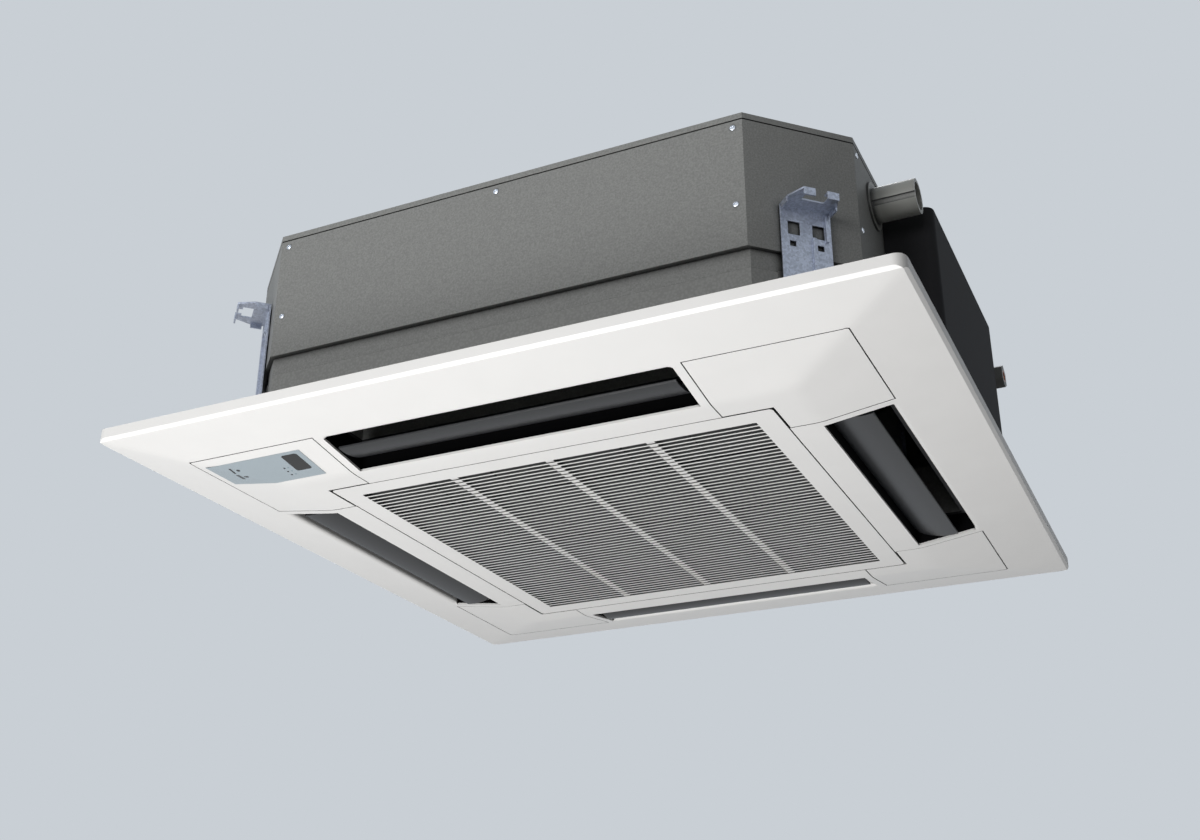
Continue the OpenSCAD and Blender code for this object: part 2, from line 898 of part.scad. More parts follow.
module louvre_motors() color("Silver") each_side() difference() {
    union() {
        translate([0, louvre_y, louvre_z + motor_offset])
            rod_x(motor_body_r, duct_end, duct_end + motor_body_l);
        box([duct_end, louvre_y - motor_ear_w / 2, louvre_z + motor_offset - motor_ear_h / 2],
            [duct_end + motor_ear_t, louvre_y + motor_ear_w / 2,
            louvre_z + motor_offset + motor_ear_h / 2]);
        translate([0, louvre_y, louvre_z]) rod_x(bush_r, duct_half + seat_gap, duct_end + cut);
    }
    translate([0, louvre_y, louvre_z])
        rod_x(pin_bore_r, duct_half - cut, duct_end + drive_depth + cut);
}

module louvre_bushes() color("Ivory") each_side() translate([0, louvre_y, louvre_z]) difference() {
    union() {
        rod_x(bush_r, -duct_end - bush_flange_t, -duct_half - seat_gap);
        rod_x(bush_flange_r, -duct_end - bush_flange_t, -duct_end);
    }
    rod_x(pin_bore_r, -duct_end - bush_flange_t - cut, -duct_half + cut);
}

module panel_seal() color("DarkSlateGray") each_side() slab(duct_top_z, pan_bottom_z) difference() {
    translate([-duct_end, -duct_outer - duct_wall])
        square([2 * duct_end, duct_outer + 2 * duct_wall - duct_inner]);
    translate([-outlet_half, -slot_outer])
        square([2 * outlet_half, slot_outer - flat_half - slot_in]);
}

module panel_screws() color("Silver") each_side() translate([screw_boss_at, screw_boss_at, 0]) {
    slab(screw_seat_z - panel_screw_head_h, screw_seat_z) circle(panel_screw_head_r);
    slab(screw_seat_z, panel_screw_top_z) circle(panel_screw_r);
}

// Rods of one radius through the casing's walls, at every casing screw
module casing_screw_rods(radius, low, high) each_side()
    for (place = [[-casing_screw_u, casing_screw_top_z], [0, casing_screw_top_z],
            [casing_screw_u, casing_screw_top_z], [-casing_screw_u, casing_screw_low_z],
            [casing_screw_u, casing_screw_low_z]])
        translate([0, place[0], place[1]]) rod_x(radius, casing_half + low, casing_half + high);

module casing_screws() color("White") {
    casing_screw_rods(casing_screw_r, -casing_screw_l, cut);
    casing_screw_rods(casing_screw_head_r, 0, casing_screw_head_h);
}

// Round openings in the right wall for the drain socket and the two pipes
module wall_openings(slack) {
    translate([0, socket_y, socket_z])
        rod_x(socket_boss_r + seat_gap, casing_half / 2, casing_half + cut);
    translate([0, gas_y, gas_z])
        rod_x(gas_r + slack, casing_half * wall_opening_share, casing_half + cut);
    translate([0, liquid_y, liquid_z])
        rod_x(liquid_r + slack, casing_half * wall_opening_share, casing_half + cut);
}

// Eight bent sheets that meet edge to edge at the casing's corners
module upper_casing() color(metal_colour) difference() {
    union() {
        slab(casing_step_z, lid_z - lid_groove) octagon_ring(casing_half, casing_diag, sheet_t);
        slab(casing_step_z, casing_step_z + sheet_t) difference() {
            octagon(casing_half, casing_diag);
            octagon(lower_half - sheet_t, lower_diag - sheet_t);
        }
    }
    casing_screw_rods(casing_screw_r + screw_fit, -casing_screw_l, cut);
    wall_openings(casing_pipe_slack);
    each_side() for (side = [0, 1]) mirror([0, side, 0]) translate([casing_half, casing_side, 0])
        rotate([0, 0, 22.5]) box([-seam_reach, -run_gap / 2, casing_step_z - cut],
            [cut, run_gap / 2, lid_z]);
}

module top_plate() color(metal_colour) difference() {
    union() {
        slab(body_height - sheet_t, body_height) octagon(casing_half, casing_diag);
        slab(lid_z, body_height) octagon_ring(casing_half, casing_diag, sheet_t);
        slab(skirt_z, body_height) octagon_ring(skirt_half, skirt_diag, sheet_t);
    }
    casing_screw_rods(casing_screw_r + screw_fit, -casing_screw_l, cut);
}

// Lower sheet ring with four straps over the drain pan's corner faces
module lower_casing() color(metal_colour) difference() {
    union() {
        slab(pan_top_z, casing_step_z) octagon_ring(lower_half, lower_diag, sheet_t);
        each_side() rotate([0, 0, 45]) {
            box([lower_diag - sheet_t, -strap_half_w, pan_top_z],
                [pan_diag + sheet_t, strap_half_w, pan_top_z + sheet_t]);
            box([pan_diag, -strap_half_w, strap_z],
                [pan_diag + sheet_t, strap_half_w, pan_top_z + sheet_t]);
        }
    }
    bracket_bolt_holes();
}

module bracket_bolt_holes() each_side() rotate([0, 0, 45]) for (side = [-1, 1])
    translate([0, side * bracket_bolt_s, bracket_bolt_z]) rod_x(bracket_bolt_r + screw_fit,
        pan_diag - bracket_bolt_in - seat_gap, bracket_d + bracket_t + cut);

module wall_lining() color("Gray") difference() {
    slab(casing_step_z + sheet_t, skirt_z - seat_gap)
        octagon_ring(skirt_half, skirt_diag, lining_t);
    casing_screw_rods(casing_screw_r + seat_gap, -lining_t, cut);
    wall_openings(casing_pipe_slack);
}

module top_lining() color("Gray") slab(top_lining_z, body_height - sheet_t) difference() {
    octagon(skirt_half - sheet_t - seat_gap, skirt_diag - sheet_t - seat_gap);
    circle(lining_hole_r);
}

module drain_pan() color(metal_colour) difference() {
    union() {
        difference() {
            slab(pan_bottom_z, pan_top_z) octagon(lower_half, pan_diag);
            slab(trough_floor_z, pan_top_z + cut) square(2 * trough_out, center = true);
            translate([pump_x, pump_y, 0]) slab(pump_sump_z, pan_top_z + cut) circle(pump_sump_r);
            translate([float_x, float_y, 0])
                slab(float_sump_z, pan_top_z + cut) circle(float_sump_r);
        }
        slab(pan_bottom_z, pan_top_z) rounded_square(trough_in, trough_corner_r);
        each_side() for (side = [-1, 1]) box(
            [side * block_u - block_w / 2, -coil_half, trough_floor_z - cut],
            [side * block_u + block_w / 2, coil_depth - coil_half, coil_z - seat_gap]);
    }
    slab(pan_bottom_z - cut, pan_top_z + cut) rounded_square(pan_opening, pan_opening_r);
    slab(pan_bottom_z - cut, bell_recess_z) square(2 * (pan_opening + bell_recess_w), center = true);
    each_side() {
        translate([-outlet_half, -slot_outer, pan_bottom_z - cut])
            cube([2 * outlet_half, slot_outer - flat_half - slot_in,
            pan_top_z - pan_bottom_z + 2 * cut]);
        translate([screw_boss_at, screw_boss_at, 0])
            slab(pan_bottom_z - cut, panel_screw_top_z + cut) circle(panel_screw_r + screw_fit);
    }
    bracket_bolt_holes();
}

module bell_mouth() color("Gray") {
    slab(bell_z, bell_recess_z) difference() {
        square(2 * (pan_opening + bell_recess_w - seat_gap), center = true);
        circle(bell_neck_r + bell_r);
    }
    rotate_extrude() {
        intersection() {
            translate([bell_neck_r + bell_r, bell_z + bell_r]) difference() {
                circle(bell_r);
                circle(bell_r - bell_sheet);
            }
            translate([bell_neck_r, bell_z]) square(bell_r);
        }
        translate([bell_neck_r, bell_z + bell_r]) square([bell_sheet, bell_neck_h]);
    }
}

// Curved plan of one fan blade, from the inlet to the rim
module blade_plan() intersection() {
    difference() {
        circle(fan_r - fan_rim_in);
        circle(blade_in_r);
    }
    translate([blade_in_r, blade_arc_r]) difference() {
        circle(blade_arc_r + blade_wall / 2);
        circle(blade_arc_r - blade_wall / 2);
    }
    translate([0, -blade_in_r]) square(2 * blade_in_r);
}

module turbo_fan() color("LightGray") {
    rotate_extrude() {
        polygon([[fan_r, fan_back_z], [dome_top_r, fan_back_z], [dome_low_r, dome_z],
            [hub_r, dome_z], [hub_r, hub_z], [shaft_r, hub_z], [shaft_r, dome_z + dome_wall],
            [dome_low_r - dome_wall, dome_z + dome_wall],
            [dome_top_r - dome_wall, fan_back_z + shroud_t], [fan_r, fan_back_z + shroud_t]]);
        shroud_section();
    }
    intersection() {
        slab(shroud_z, fan_back_z + shroud_t / 2)
            for (i = [0:fan_blades - 1]) rotate(i * 360 / fan_blades) blade_plan();
        rotate_extrude() difference() {
            translate([blade_in_r - cut, shroud_z]) square([fan_r, fan_back_z]);
            translate([fan_inlet_r + shroud_t + shroud_r, shroud_z])
                circle(shroud_r + shroud_t / 2);
        }
    }
}

module shroud_section() {
    translate([fan_inlet_r, shroud_neck_z]) square([shroud_t, shroud_z - shroud_neck_z]);
    intersection() {
        translate([fan_inlet_r + shroud_t + shroud_r, shroud_z]) difference() {
            circle(shroud_r + shroud_t);
            circle(shroud_r);
        }
        translate([fan_inlet_r, shroud_z]) square([fan_r - fan_inlet_r, shroud_r + shroud_t]);
    }
}

module motor_shaft() color("Silver") slab(shaft_low_z, shaft_top_z) circle(shaft_r);

module fan_nut() color("Silver") slab(hub_z - nut_h, hub_z) difference() {
    hexagon(nut_af);
    circle(shaft_r);
}

module fan_motor() color("Silver") difference() {
    union() {
        slab(motor_z, motor_top_z) circle(motor_r);
        slab(motor_z - motor_nose_h, motor_z + cut) circle(motor_nose_r);
        each_side() slab(motor_top_z - motor_lug_t, motor_top_z)
            translate([0, -motor_lug_w / 2]) square([motor_lug_r + motor_lug_w / 2, motor_lug_w]);
    }
    slab(motor_z - motor_nose_h - cut, shaft_top_z + cut) circle(shaft_r + run_gap);
    each_side() translate([motor_lug_r, 0, 0])
        slab(motor_z, motor_top_z + cut) circle(stud_r + stud_fit);
}

module motor_rubbers() color("Black") each_side() translate([motor_lug_r, 0, 0])
    slab(motor_top_z, body_height - sheet_t) difference() {
        circle(rubber_r);
        circle(stud_r + stud_fit);
    }

module motor_bolts() color("Silver") each_side() translate([motor_lug_r, 0, 0]) {
    slab(stud_low_z, body_height - sheet_t) circle(stud_r);
    slab(motor_top_z - motor_lug_t - stud_nut_h, motor_top_z - motor_lug_t) hexagon(stud_nut_af);
}

module coil_fins() color("Silver") slab(coil_z, coil_top_z) difference() {
    rounded_square(coil_half, coil_corner_r);
    rounded_square(coil_half - coil_depth, coil_corner_r - coil_depth);
    translate([1, 1] * coil_end_at) square(coil_half);
}

// Children drawn at the end of the rear leg, and mirrored to the end of the right leg
module at_coil_ends() for (flip = [0, 1]) mirror([flip, -flip, 0]) children();

module coil_end_plates() color("Silver") at_coil_ends()
    box([coil_end_at, coil_half - coil_depth - end_plate_over, coil_z],
        [coil_end_at + end_plate_t, coil_half + end_plate_over, coil_top_z]);

module coil_return_bends() color("Peru") at_coil_ends() for (i = [0:tube_rows - 1])
    translate([coil_end_at + end_plate_t, coil_mid, coil_z + (i + 0.5) * tube_pitch])
        rotate([0, 0, -90]) rotate_extrude(angle = 180)
            translate([tube_column_gap / 2, 0]) circle(tube_r);

// A straight pipe along X with a closed upright header at its inner end
module pipe_with_header(radius, header, header_r, pipe_y, pipe_z, end_x) difference() {
    union() {
        translate([header[0], header[1], 0]) slab(header_z[0], header_z[1]) circle(header_r);
        translate([0, pipe_y, pipe_z]) rod_x(radius, header[0], end_x);
    }
    translate([header[0], header[1], 0])
        slab(header_z[0] + copper_wall, header_z[1] - copper_wall) circle(header_r - copper_wall);
    translate([0, pipe_y, pipe_z]) rod_x(radius - copper_wall, header[0], end_x + cut);
}

module gas_pipe() color("Peru")
    pipe_with_header(gas_r, gas_header, gas_header_r, gas_y, gas_z, gas_end_x);
module liquid_pipe() color("Peru") pipe_with_header(liquid_r,
    liquid_header, liquid_header_r, liquid_y, liquid_z, liquid_end_x);

module flare_nut(radius, across_flats, pipe_y, pipe_z, end_x) translate([0, pipe_y, pipe_z])
    difference() {
        translate([end_x - flare_nut_l, 0, 0]) rotate([0, 90, 0])
            linear_extrude(flare_nut_l) hexagon(across_flats);
        rod_x(radius, end_x - 2 * flare_nut_l, end_x + cut);
    }

module flare_nuts() color("Goldenrod") {
    flare_nut(gas_r, gas_nut_af, gas_y, gas_z, gas_end_x);
    flare_nut(liquid_r, liquid_nut_af, liquid_y, liquid_z, liquid_end_x);
}

module pipe_plate() color(metal_colour) difference() {
    box([casing_half, pipe_plate_y[0], pipe_plate_z[0]],
        [casing_half + pipe_plate_t, pipe_plate_y[1], pipe_plate_z[1]]);
    translate([0, gas_y, gas_z])
        rod_x(gas_r + pipe_hole_fit, casing_half - cut, gas_end_x);
    translate([0, liquid_y, liquid_z])
        rod_x(liquid_r + pipe_hole_fit, casing_half - cut, gas_end_x);
}

// Plan of the hanging flange, with the slot that a rod enters through its mouth
module flange_plan() {
    mouth = rod_mouth_w / 2;
    polygon([[bracket_d, -bracket_half], [flange_d, -bracket_half], [tip_d, -tip_half],
        [tip_d, -mouth], [notch_d, -mouth], [notch_d, -notch_half], [flange_d, -notch_half],
        [flange_d, notch_half], [notch_d, notch_half], [notch_d, mouth], [tip_d, mouth],
        [tip_d, tip_half], [flange_d, bracket_half], [bracket_d, bracket_half]]);
}

// Hanger bracket on the corner face that looks along turn, its flange's underside at flange_z
module hanger_bracket(turn, flange_z) color(zinc_colour) rotate([0, 0, turn]) difference() {
    union() {
        box([bracket_d, -bracket_half, bracket_foot_z],
            [bracket_d + bracket_t, bracket_half, flange_z + bracket_t]);
        slab(flange_z, flange_z + bracket_t) flange_plan();
        for (side = [0, 1]) mirror([0, side, 0]) {
            box([tip_d - bracket_t, rod_mouth_w / 2, flange_z - tab_drop],
                [tip_d, tip_half, flange_z + bracket_t]);
            box([side_lip_d[0], bracket_half - bracket_t, flange_z - side_lip_drop],
                [side_lip_d[1], bracket_half, flange_z + bracket_t]);
        }
        box([bracket_d + bracket_t / 2, bracket_rib_s[0], bracket_foot_z + foot_h],
            [bracket_d + bracket_t + bracket_rib_rise, bracket_rib_s[1],
            flange_z + bracket_rib_top]);
        box([bracket_d + bracket_t / 2, gusset_s[0], flange_z + gusset_z[0]],
            [bracket_d + bracket_t + gusset_t, gusset_s[1], flange_z + gusset_z[1]]);
        box([pan_diag + sheet_t, -foot_half, bracket_foot_z],
            [bracket_d + bracket_t / 2, foot_half, bracket_foot_z + foot_h]);
    }
    for (side = [0, 1]) mirror([0, side, 0]) {
        box([bracket_d - cut, bracket_window_s[0], flange_z + bracket_window_z[0]],
            [flange_d, bracket_window_s[1], flange_z + bracket_window_z[1]]);
        box([bracket_d - cut, bracket_slot_s[0], flange_z + bracket_slot_z[0]],
            [flange_d, bracket_slot_s[1], flange_z + bracket_slot_z[1]]);
        translate([0, bracket_bolt_s, bracket_bolt_z])
            rod_x(bracket_bolt_r + screw_fit, pan_diag, flange_d);
    }
}
module hanger_bracket_front_left() hanger_bracket(225, bracket_z_left);
module hanger_bracket_front_right() hanger_bracket(315, bracket_z_right);
module hanger_bracket_rear_right() hanger_bracket(45, bracket_z_right);
module hanger_bracket_rear_left() hanger_bracket(135, bracket_z_left);

module bracket_bolts() color("Silver") each_side() rotate([0, 0, 45]) for (side = [-1, 1])
    translate([0, side * bracket_bolt_s, bracket_bolt_z]) {
        rod_x(bracket_bolt_r, pan_diag - bracket_bolt_in, bracket_d + bracket_t + cut);
        translate([bracket_d + bracket_t, 0, 0]) rotate([0, 90, 0])
            linear_extrude(bracket_bolt_head_h) hexagon(bracket_bolt_af);
    }

// Plan of the control box, its two outer upright edges rounded
module box_plan(inset) {
    low = [casing_half, box_y[0] + inset];
    high = [casing_half + box_depth - inset, box_y[1] - inset];
    radius = box_edge_r - inset;
    polygon([low, [high[0] - radius, low[1]], [high[0], low[1] + radius],
        [high[0], high[1] - radius], [high[0] - radius, high[1]], [low[0], high[1]]]);
    for (y = [low[1] + radius, high[1] - radius]) translate([high[0] - radius, y]) circle(radius);
}

module control_box_cover() color("DimGray") difference() {
    slab(box_z, box_top_z) box_plan(0);
    slab(box_z + box_wall, box_top_z - box_wall) union() {
        box_plan(box_wall);
        translate([casing_half - cut, box_y[0] + box_wall])
            square([2 * cut, box_length - 2 * box_wall]);
    }
}

module control_box_tray() color("Silver") difference() {
    inset = box_wall + seat_gap;
    box([casing_half, box_y[0] + inset, box_z + inset],
        [casing_half + tray_h, box_y[1] - inset, box_top_z - inset]);
    box([casing_half + tray_wall, box_y[0] + inset + tray_wall, box_z + inset + tray_wall],
        [casing_half + tray_h + cut, box_y[1] - inset - tray_wall, box_top_z - inset - tray_wall]);
}

// Circuit board on four standoffs, with a row of relays and a capacitor
module control_board() color("DarkGreen") {
    face = casing_half + tray_wall + pcb_off;
    low = [face, box_y[0] + pcb_in + terminal[1], box_z + pcb_in];
    high = [face + pcb_t, box_y[1] - pcb_in, box_top_z - pcb_in];
    box(low, high);
    for (y = [low[1] + pcb_in, high[1] - pcb_in], z = [low[2] + pcb_in, high[2] - pcb_in])
        translate([0, y, z]) rod_x(standoff_r, casing_half + tray_wall, face + pcb_t);
    relay_row = [high[0] - pcb_t / 2, low[1] + pcb_in, high[2] - pcb_in - 2 * relay[2]];
    for (i = [0:relay_count - 1]) translate(relay_row + [0, i * relay_pitch, 0]) cube(relay);
    translate([0, (low[1] + high[1]) / 2, low[2] + pcb_in + capacitor_h])
        rod_x(capacitor_r, high[0] - pcb_t / 2, high[0] + capacitor_h);
}

module terminal_block() color("Ivory") {
    place = [casing_half + tray_wall, box_y[0] + pcb_in / 2, box_z + pcb_in + terminal_up];
    translate(place) cube(terminal);
    for (i = [0:terminal_ways - 1])
        translate(place + [0, (i + 0.5) * terminal[1] / terminal_ways, terminal[2] / 2])
            rod_x(terminal_screw_r, terminal[0] - cut, terminal[0] + terminal_screw_h);
}

module drain_pump() color("White") translate([pump_x, pump_y, 0]) difference() {
    union() {
        slab(pump_z[0], pump_z[1]) circle(pump_r);
        slab(suction_z, pump_z[0]) circle(suction_r);
        slab(pump_z[1], pump_motor_z[0]) circle(pump_neck_r);
        slab(pump_motor_z[0], pump_motor_z[1]) circle(pump_motor_r);
        translate([0, 0, pump_nozzle_z]) rotate([0, 0, 90])
            rod_x(pump_nozzle_r, pump_r - pump_wall / 2, hose_start_y - pump_y + pump_nozzle_r);
    }
    slab(pump_z[0] + pump_wall, pump_z[1] - pump_wall) circle(pump_r - pump_wall);
    slab(suction_z - cut, pump_z[0] + pump_wall + cut) circle(suction_bore_r);
    slab(pump_z[0] + pump_wall, pump_shaft_top_z + cut) circle(pump_shaft_r + run_gap);
    translate([0, 0, pump_nozzle_z]) rotate([0, 0, 90])
        rod_x(pump_nozzle_bore_r, pump_r - 2 * pump_wall, pump_sump_r + pump_nozzle_r);
}

module pump_impeller() color("White") translate([pump_x, pump_y, 0]) {
    slab(pump_shaft_low_z, pump_shaft_top_z) circle(pump_shaft_r);
    slab(impeller_z[1] - impeller_disc_t, impeller_z[1]) circle(impeller_r);
    slab(impeller_z[0], impeller_z[1]) for (turn = [0, 90]) rotate(turn)
        square([2 * (impeller_r - vane_t), vane_t], center = true);
}

module pump_bracket() color(zinc_colour) rotate([0, 0, -45])
    box([pump_plate_d[0], pump_plate_s[0], pump_motor_z[1]],
        [pump_plate_d[1], pump_plate_s[1], pump_motor_z[1] + bracket_plate_t]);

module float_switch() color("Ivory") translate([float_x, float_y, 0]) {
    slab(stem_z, pump_motor_z[1]) circle(stem_r);
    slab(stem_z, stem_z + stop_t) circle(stop_r);
    slab(float_stop_z, float_stop_z + stop_t) circle(stop_r);
}

module float() color("Orange") translate([float_x, float_y, 0])
    slab(float_z, float_z + float_h) difference() {
        circle(float_r);
        circle(stem_r + run_gap);
    }

module hose_ring() difference() {
    circle(hose_r);
    circle(hose_bore_r);
}

// Hose from the pump's nozzle, up beside the heat exchanger and out to the socket
module drain_hose() color("Gainsboro") {
    rise_y = socket_y;
    bend_y = rise_y - hose_bend_r;
    translate([pump_x, hose_start_y, pump_nozzle_z]) rotate([-90, 0, 0])
        linear_extrude(bend_y - hose_start_y) hose_ring();
    translate([pump_x, bend_y, pump_nozzle_z + hose_bend_r]) rotate([90, 0, 90])
        rotate([0, 0, -90]) rotate_extrude(angle = 90) translate([hose_bend_r, 0]) hose_ring();
    translate([pump_x, rise_y, 0])
        slab(pump_nozzle_z + hose_bend_r, socket_z - hose_bend_r) hose_ring();
    translate([pump_x + hose_bend_r, rise_y, socket_z - hose_bend_r]) rotate([90, 0, 0])
        rotate([0, 0, 90]) rotate_extrude(angle = 90) translate([hose_bend_r, 0]) hose_ring();
    translate([pump_x + hose_bend_r, rise_y, socket_z]) rotate([0, 90, 0])
        linear_extrude(casing_half - socket_boss_l - pump_x - hose_bend_r) hose_ring();
}

module drain_socket() color(metal_colour) translate([0, socket_y, socket_z]) difference() {
    union() {
        rod_x(socket_boss_r, casing_half - socket_boss_l, casing_half + collar_t);
        rod_x(collar_r, casing_half, casing_half + collar_t);
        rod_x(socket_r, casing_half, socket_end_x);
    }
    rod_x(socket_bore_r, casing_half + socket_floor_t, socket_end_x + cut);
    rod_x(hose_bore_r, casing_half - socket_boss_l - cut, casing_half + socket_floor_t + cut);
    rotate([groove_turn, 0, 0]) box([casing_half + collar_t, -socket_r - cut, -groove_w / 2],
        [socket_end_x + cut, groove_depth - socket_r, groove_w / 2]);
}

decorative_panel();
corner_cover_front_left();
corner_cover_front_right();
corner_cover_rear_right();
corner_cover_rear_left();
display_film();
receiver_window();
indicator_lamps();
display_board();
intake_grille();
grille_hinge_pins();
grille_clips();
filter_frame();
filter_net();
louvre_front();
louvre_right();
louvre_rear();
louvre_left();
outlet_ducts();
louvre_motors();
louvre_bushes();
panel_seal();
panel_screws();
upper_casing();
top_plate();
lower_casing();
casing_screws();
wall_lining();
top_lining();
drain_pan();
bell_mouth();
turbo_fan();
motor_shaft();
fan_nut();
fan_motor();
motor_rubbers();
motor_bolts();
coil_fins();
coil_end_plates();
coil_return_bends();
gas_pipe();
liquid_pipe();
flare_nuts();
pipe_plate();
hanger_bracket_front_left();
hanger_bracket_front_right();
hanger_bracket_rear_right();
hanger_bracket_rear_left();
bracket_bolts();
control_box_tray();
control_box_cover();
control_board();
terminal_block();
drain_pump();
pump_impeller();
pump_bracket();
float_switch();
float();
drain_hose();
drain_socket();
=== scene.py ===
"""Looks for a ceiling cassette air conditioner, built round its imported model."""
import json
import math

import bmesh
import bpy
import numpy as np
from bpy.props import FloatProperty, FloatVectorProperty, PointerProperty
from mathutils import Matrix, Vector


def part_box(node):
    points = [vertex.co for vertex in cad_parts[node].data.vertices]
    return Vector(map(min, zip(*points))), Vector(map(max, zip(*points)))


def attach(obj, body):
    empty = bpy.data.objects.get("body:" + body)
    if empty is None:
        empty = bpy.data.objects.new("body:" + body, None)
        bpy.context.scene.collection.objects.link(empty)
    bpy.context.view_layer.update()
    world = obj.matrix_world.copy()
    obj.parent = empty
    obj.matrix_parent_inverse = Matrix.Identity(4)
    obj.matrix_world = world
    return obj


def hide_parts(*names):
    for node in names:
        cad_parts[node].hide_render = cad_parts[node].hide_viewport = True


bl_info = {
    "name": "Ceiling cassette air conditioner",
    "version": (1, 0, 0),
    "blender": (4, 5, 0),
    "location": "View3D > Sidebar > Cassette",
    "description": "Builds the pieces, finishes and studio of a ceiling cassette air conditioner",
    "category": "Object",
}

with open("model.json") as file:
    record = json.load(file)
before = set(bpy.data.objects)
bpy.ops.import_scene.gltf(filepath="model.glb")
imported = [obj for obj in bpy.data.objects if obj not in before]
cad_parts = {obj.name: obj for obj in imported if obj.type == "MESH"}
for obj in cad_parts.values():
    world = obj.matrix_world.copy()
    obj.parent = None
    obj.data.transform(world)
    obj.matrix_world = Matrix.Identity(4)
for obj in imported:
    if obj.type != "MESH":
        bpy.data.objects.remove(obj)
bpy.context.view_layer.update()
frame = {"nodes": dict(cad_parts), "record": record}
MM = 0.001
TOUCH = 0.001 * MM
CREASE = math.radians(35)
SIDES = ((1, 0, 0), (-1, 0, 0), (0, 1, 0), (0, -1, 0))
DIAGONALS = ((1, 1, 0), (1, -1, 0))
# Names of the materials once they are made, under the keys of their finishes
MATERIALS = {}


def linear(code):
    """Turns an sRGB colour such as "F1EFEA" into linear red, green, blue and alpha."""
    channels = [int(code[i:i + 2], 16) / 255 for i in (0, 2, 4)]
    return tuple(c / 12.92 if c <= 0.04045 else ((c + 0.055) / 1.055) ** 2.4
                 for c in channels) + (1.0,)


def colour(name, description, code):
    """A colour property whose default is an sRGB hex value."""
    return FloatVectorProperty(name=name, description=description, default=linear(code),
                               size=4, min=0.0, max=1.0, subtype="COLOR")


def length(name, description, millimetres):
    """A length property whose default is given in millimetres."""
    return FloatProperty(name=name, description=description, default=millimetres * MM,
                         unit="LENGTH", precision=5)


class CassetteSizes(bpy.types.PropertyGroup):
    """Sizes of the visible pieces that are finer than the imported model."""
    edge: length("Moulded edge", "Radius of the small edges of moulded pieces", 0.35)
    slat_edge: length("Slat edge", "Radius of the slats' edges", 0.2)
    panel_half: length("Panel half", "Half of the panel's side", 475)
    flat: length("Flat", "Half of the flat middle of the panel", 316.5)
    fold: length("Fold", "Half width of the soft fold where the slope starts", 9)
    mitre: length("Mitre", "Width of the soft ridge along a diagonal", 14)
    slope: FloatProperty(name="Slope", description="Rise of the panel's slope per run",
                         default=23 / 158.5)
    sheet_edge: length("Sheet edge", "Radius of the bent edges of sheet metal", 0.5)
    box_rest: length("Box small edge", "Radius of the control box's other edges", 0.3)
    rim: length("Rim edge", "Rounding on each side of the bevel along the rim", 2.2)
    outlet_half: length("Outlet half", "Half of an outlet's length", 213.5)
    outlet_outer: length("Outlet edge", "Distance of the outlets' outer edges", 392.5)
    outlet_round: length("Outlet round", "Rounding of the outlets' outer edges", 6)
    box_edge: length("Box edge", "Rounding round the control box's outer face", 3.5)
    pan_edge: length("Pan edge", "Radius of the edges of the drain pan", 1.2)
    head: length("Screw head", "Radius of a casing screw's head", 3.4)
    head_rise: length("Screw head rise", "Height of a casing screw's head", 1.6)
    shank: length("Screw shank", "Radius of a casing screw's shank", 2)
    shank_length: length("Shank length", "Length of a casing screw's shank", 8)


class CassetteColours(bpy.types.PropertyGroup):
    """Colours of the finishes."""
    panel: colour("Panel", "White ABS of the panel, covers and grille", "EFEEEC")
    duct: colour("Duct", "Black ABS inside the outlets", "060607")
    louvre: colour("Louvre", "Dark grey ABS of the louvres", "27282A")
    casing: colour("Casing", "Grey powder coat of the casing", "8D8E8C")
    pan: colour("Drain pan", "Coated foam of the drain pan", "949593")
    zinc: colour("Zinc", "Zinc-coated sheet of the brackets", "B4BAC8")
    box: colour("Control box", "Black powder coat of the control box", "2A2A2C")
    film: colour("Display film", "Blue grey film of the display", "9FABB2")
    ink: colour("Ink", "Printed marks of the display film", "1C1F22")


class CassetteStudio(bpy.types.PropertyGroup):
    """Camera, lamps and backdrop."""
    lens: FloatProperty(name="Lens", description="Focal length of the camera in millimetres",
                        default=43.31)
    sensor: FloatProperty(name="Sensor", description="Width of the sensor in millimetres",
                          default=36)
    place: FloatVectorProperty(name="Camera", description="Place of the camera",
                               default=(0.7044, -1.6126, -0.6833), unit="LENGTH")
    turn: FloatVectorProperty(name="Turn", description="Rotation of the camera",
                              default=[math.radians(a) for a in (114.499, -0.0945, 25.107)],
                              subtype="EULER")
    floor_z: FloatProperty(name="Floor", description="Height of the floor below the ceiling",
                           default=-2.4, unit="LENGTH")
    floor_half: FloatProperty(name="Floor half", description="Half of the floor's side",
                              default=6.0, unit="LENGTH")
    fill: FloatProperty(name="Fill", description="Strength of the even light", default=0.1)
    floor: colour("Floor", "Colour of the floor", "DDDEDF")
    backdrop: colour("Backdrop", "Colour that stands behind the object", "C9CFD5")


def add(tree, kind, settings=None, links=None):
    """Adds one shader node. Settings go to its sockets or else its properties; links join
    its sockets to the outputs given."""
    made = tree.nodes.new(kind)
    for key, value in (settings or {}).items():
        if isinstance(key, int) or key in made.inputs:
            made.inputs[key].default_value = value
        else:
            setattr(made, key, value)
    for key, source in (links or {}).items():
        tree.links.new(source, made.inputs[key])
    return made


def finish(name, settings):
    """A new material with one Principled shader, its tree and the object's coordinates."""
    material = bpy.data.materials.new(name)
    material.use_nodes = True
    tree = material.node_tree
    tree.nodes.clear()
    shader = add(tree, "ShaderNodeBsdfPrincipled", settings)
    output = add(tree, "ShaderNodeOutputMaterial")
    tree.links.new(shader.outputs["BSDF"], output.inputs["Surface"])
    place = add(tree, "ShaderNodeTexCoord").outputs["Object"]
    return material, tree, shader, place


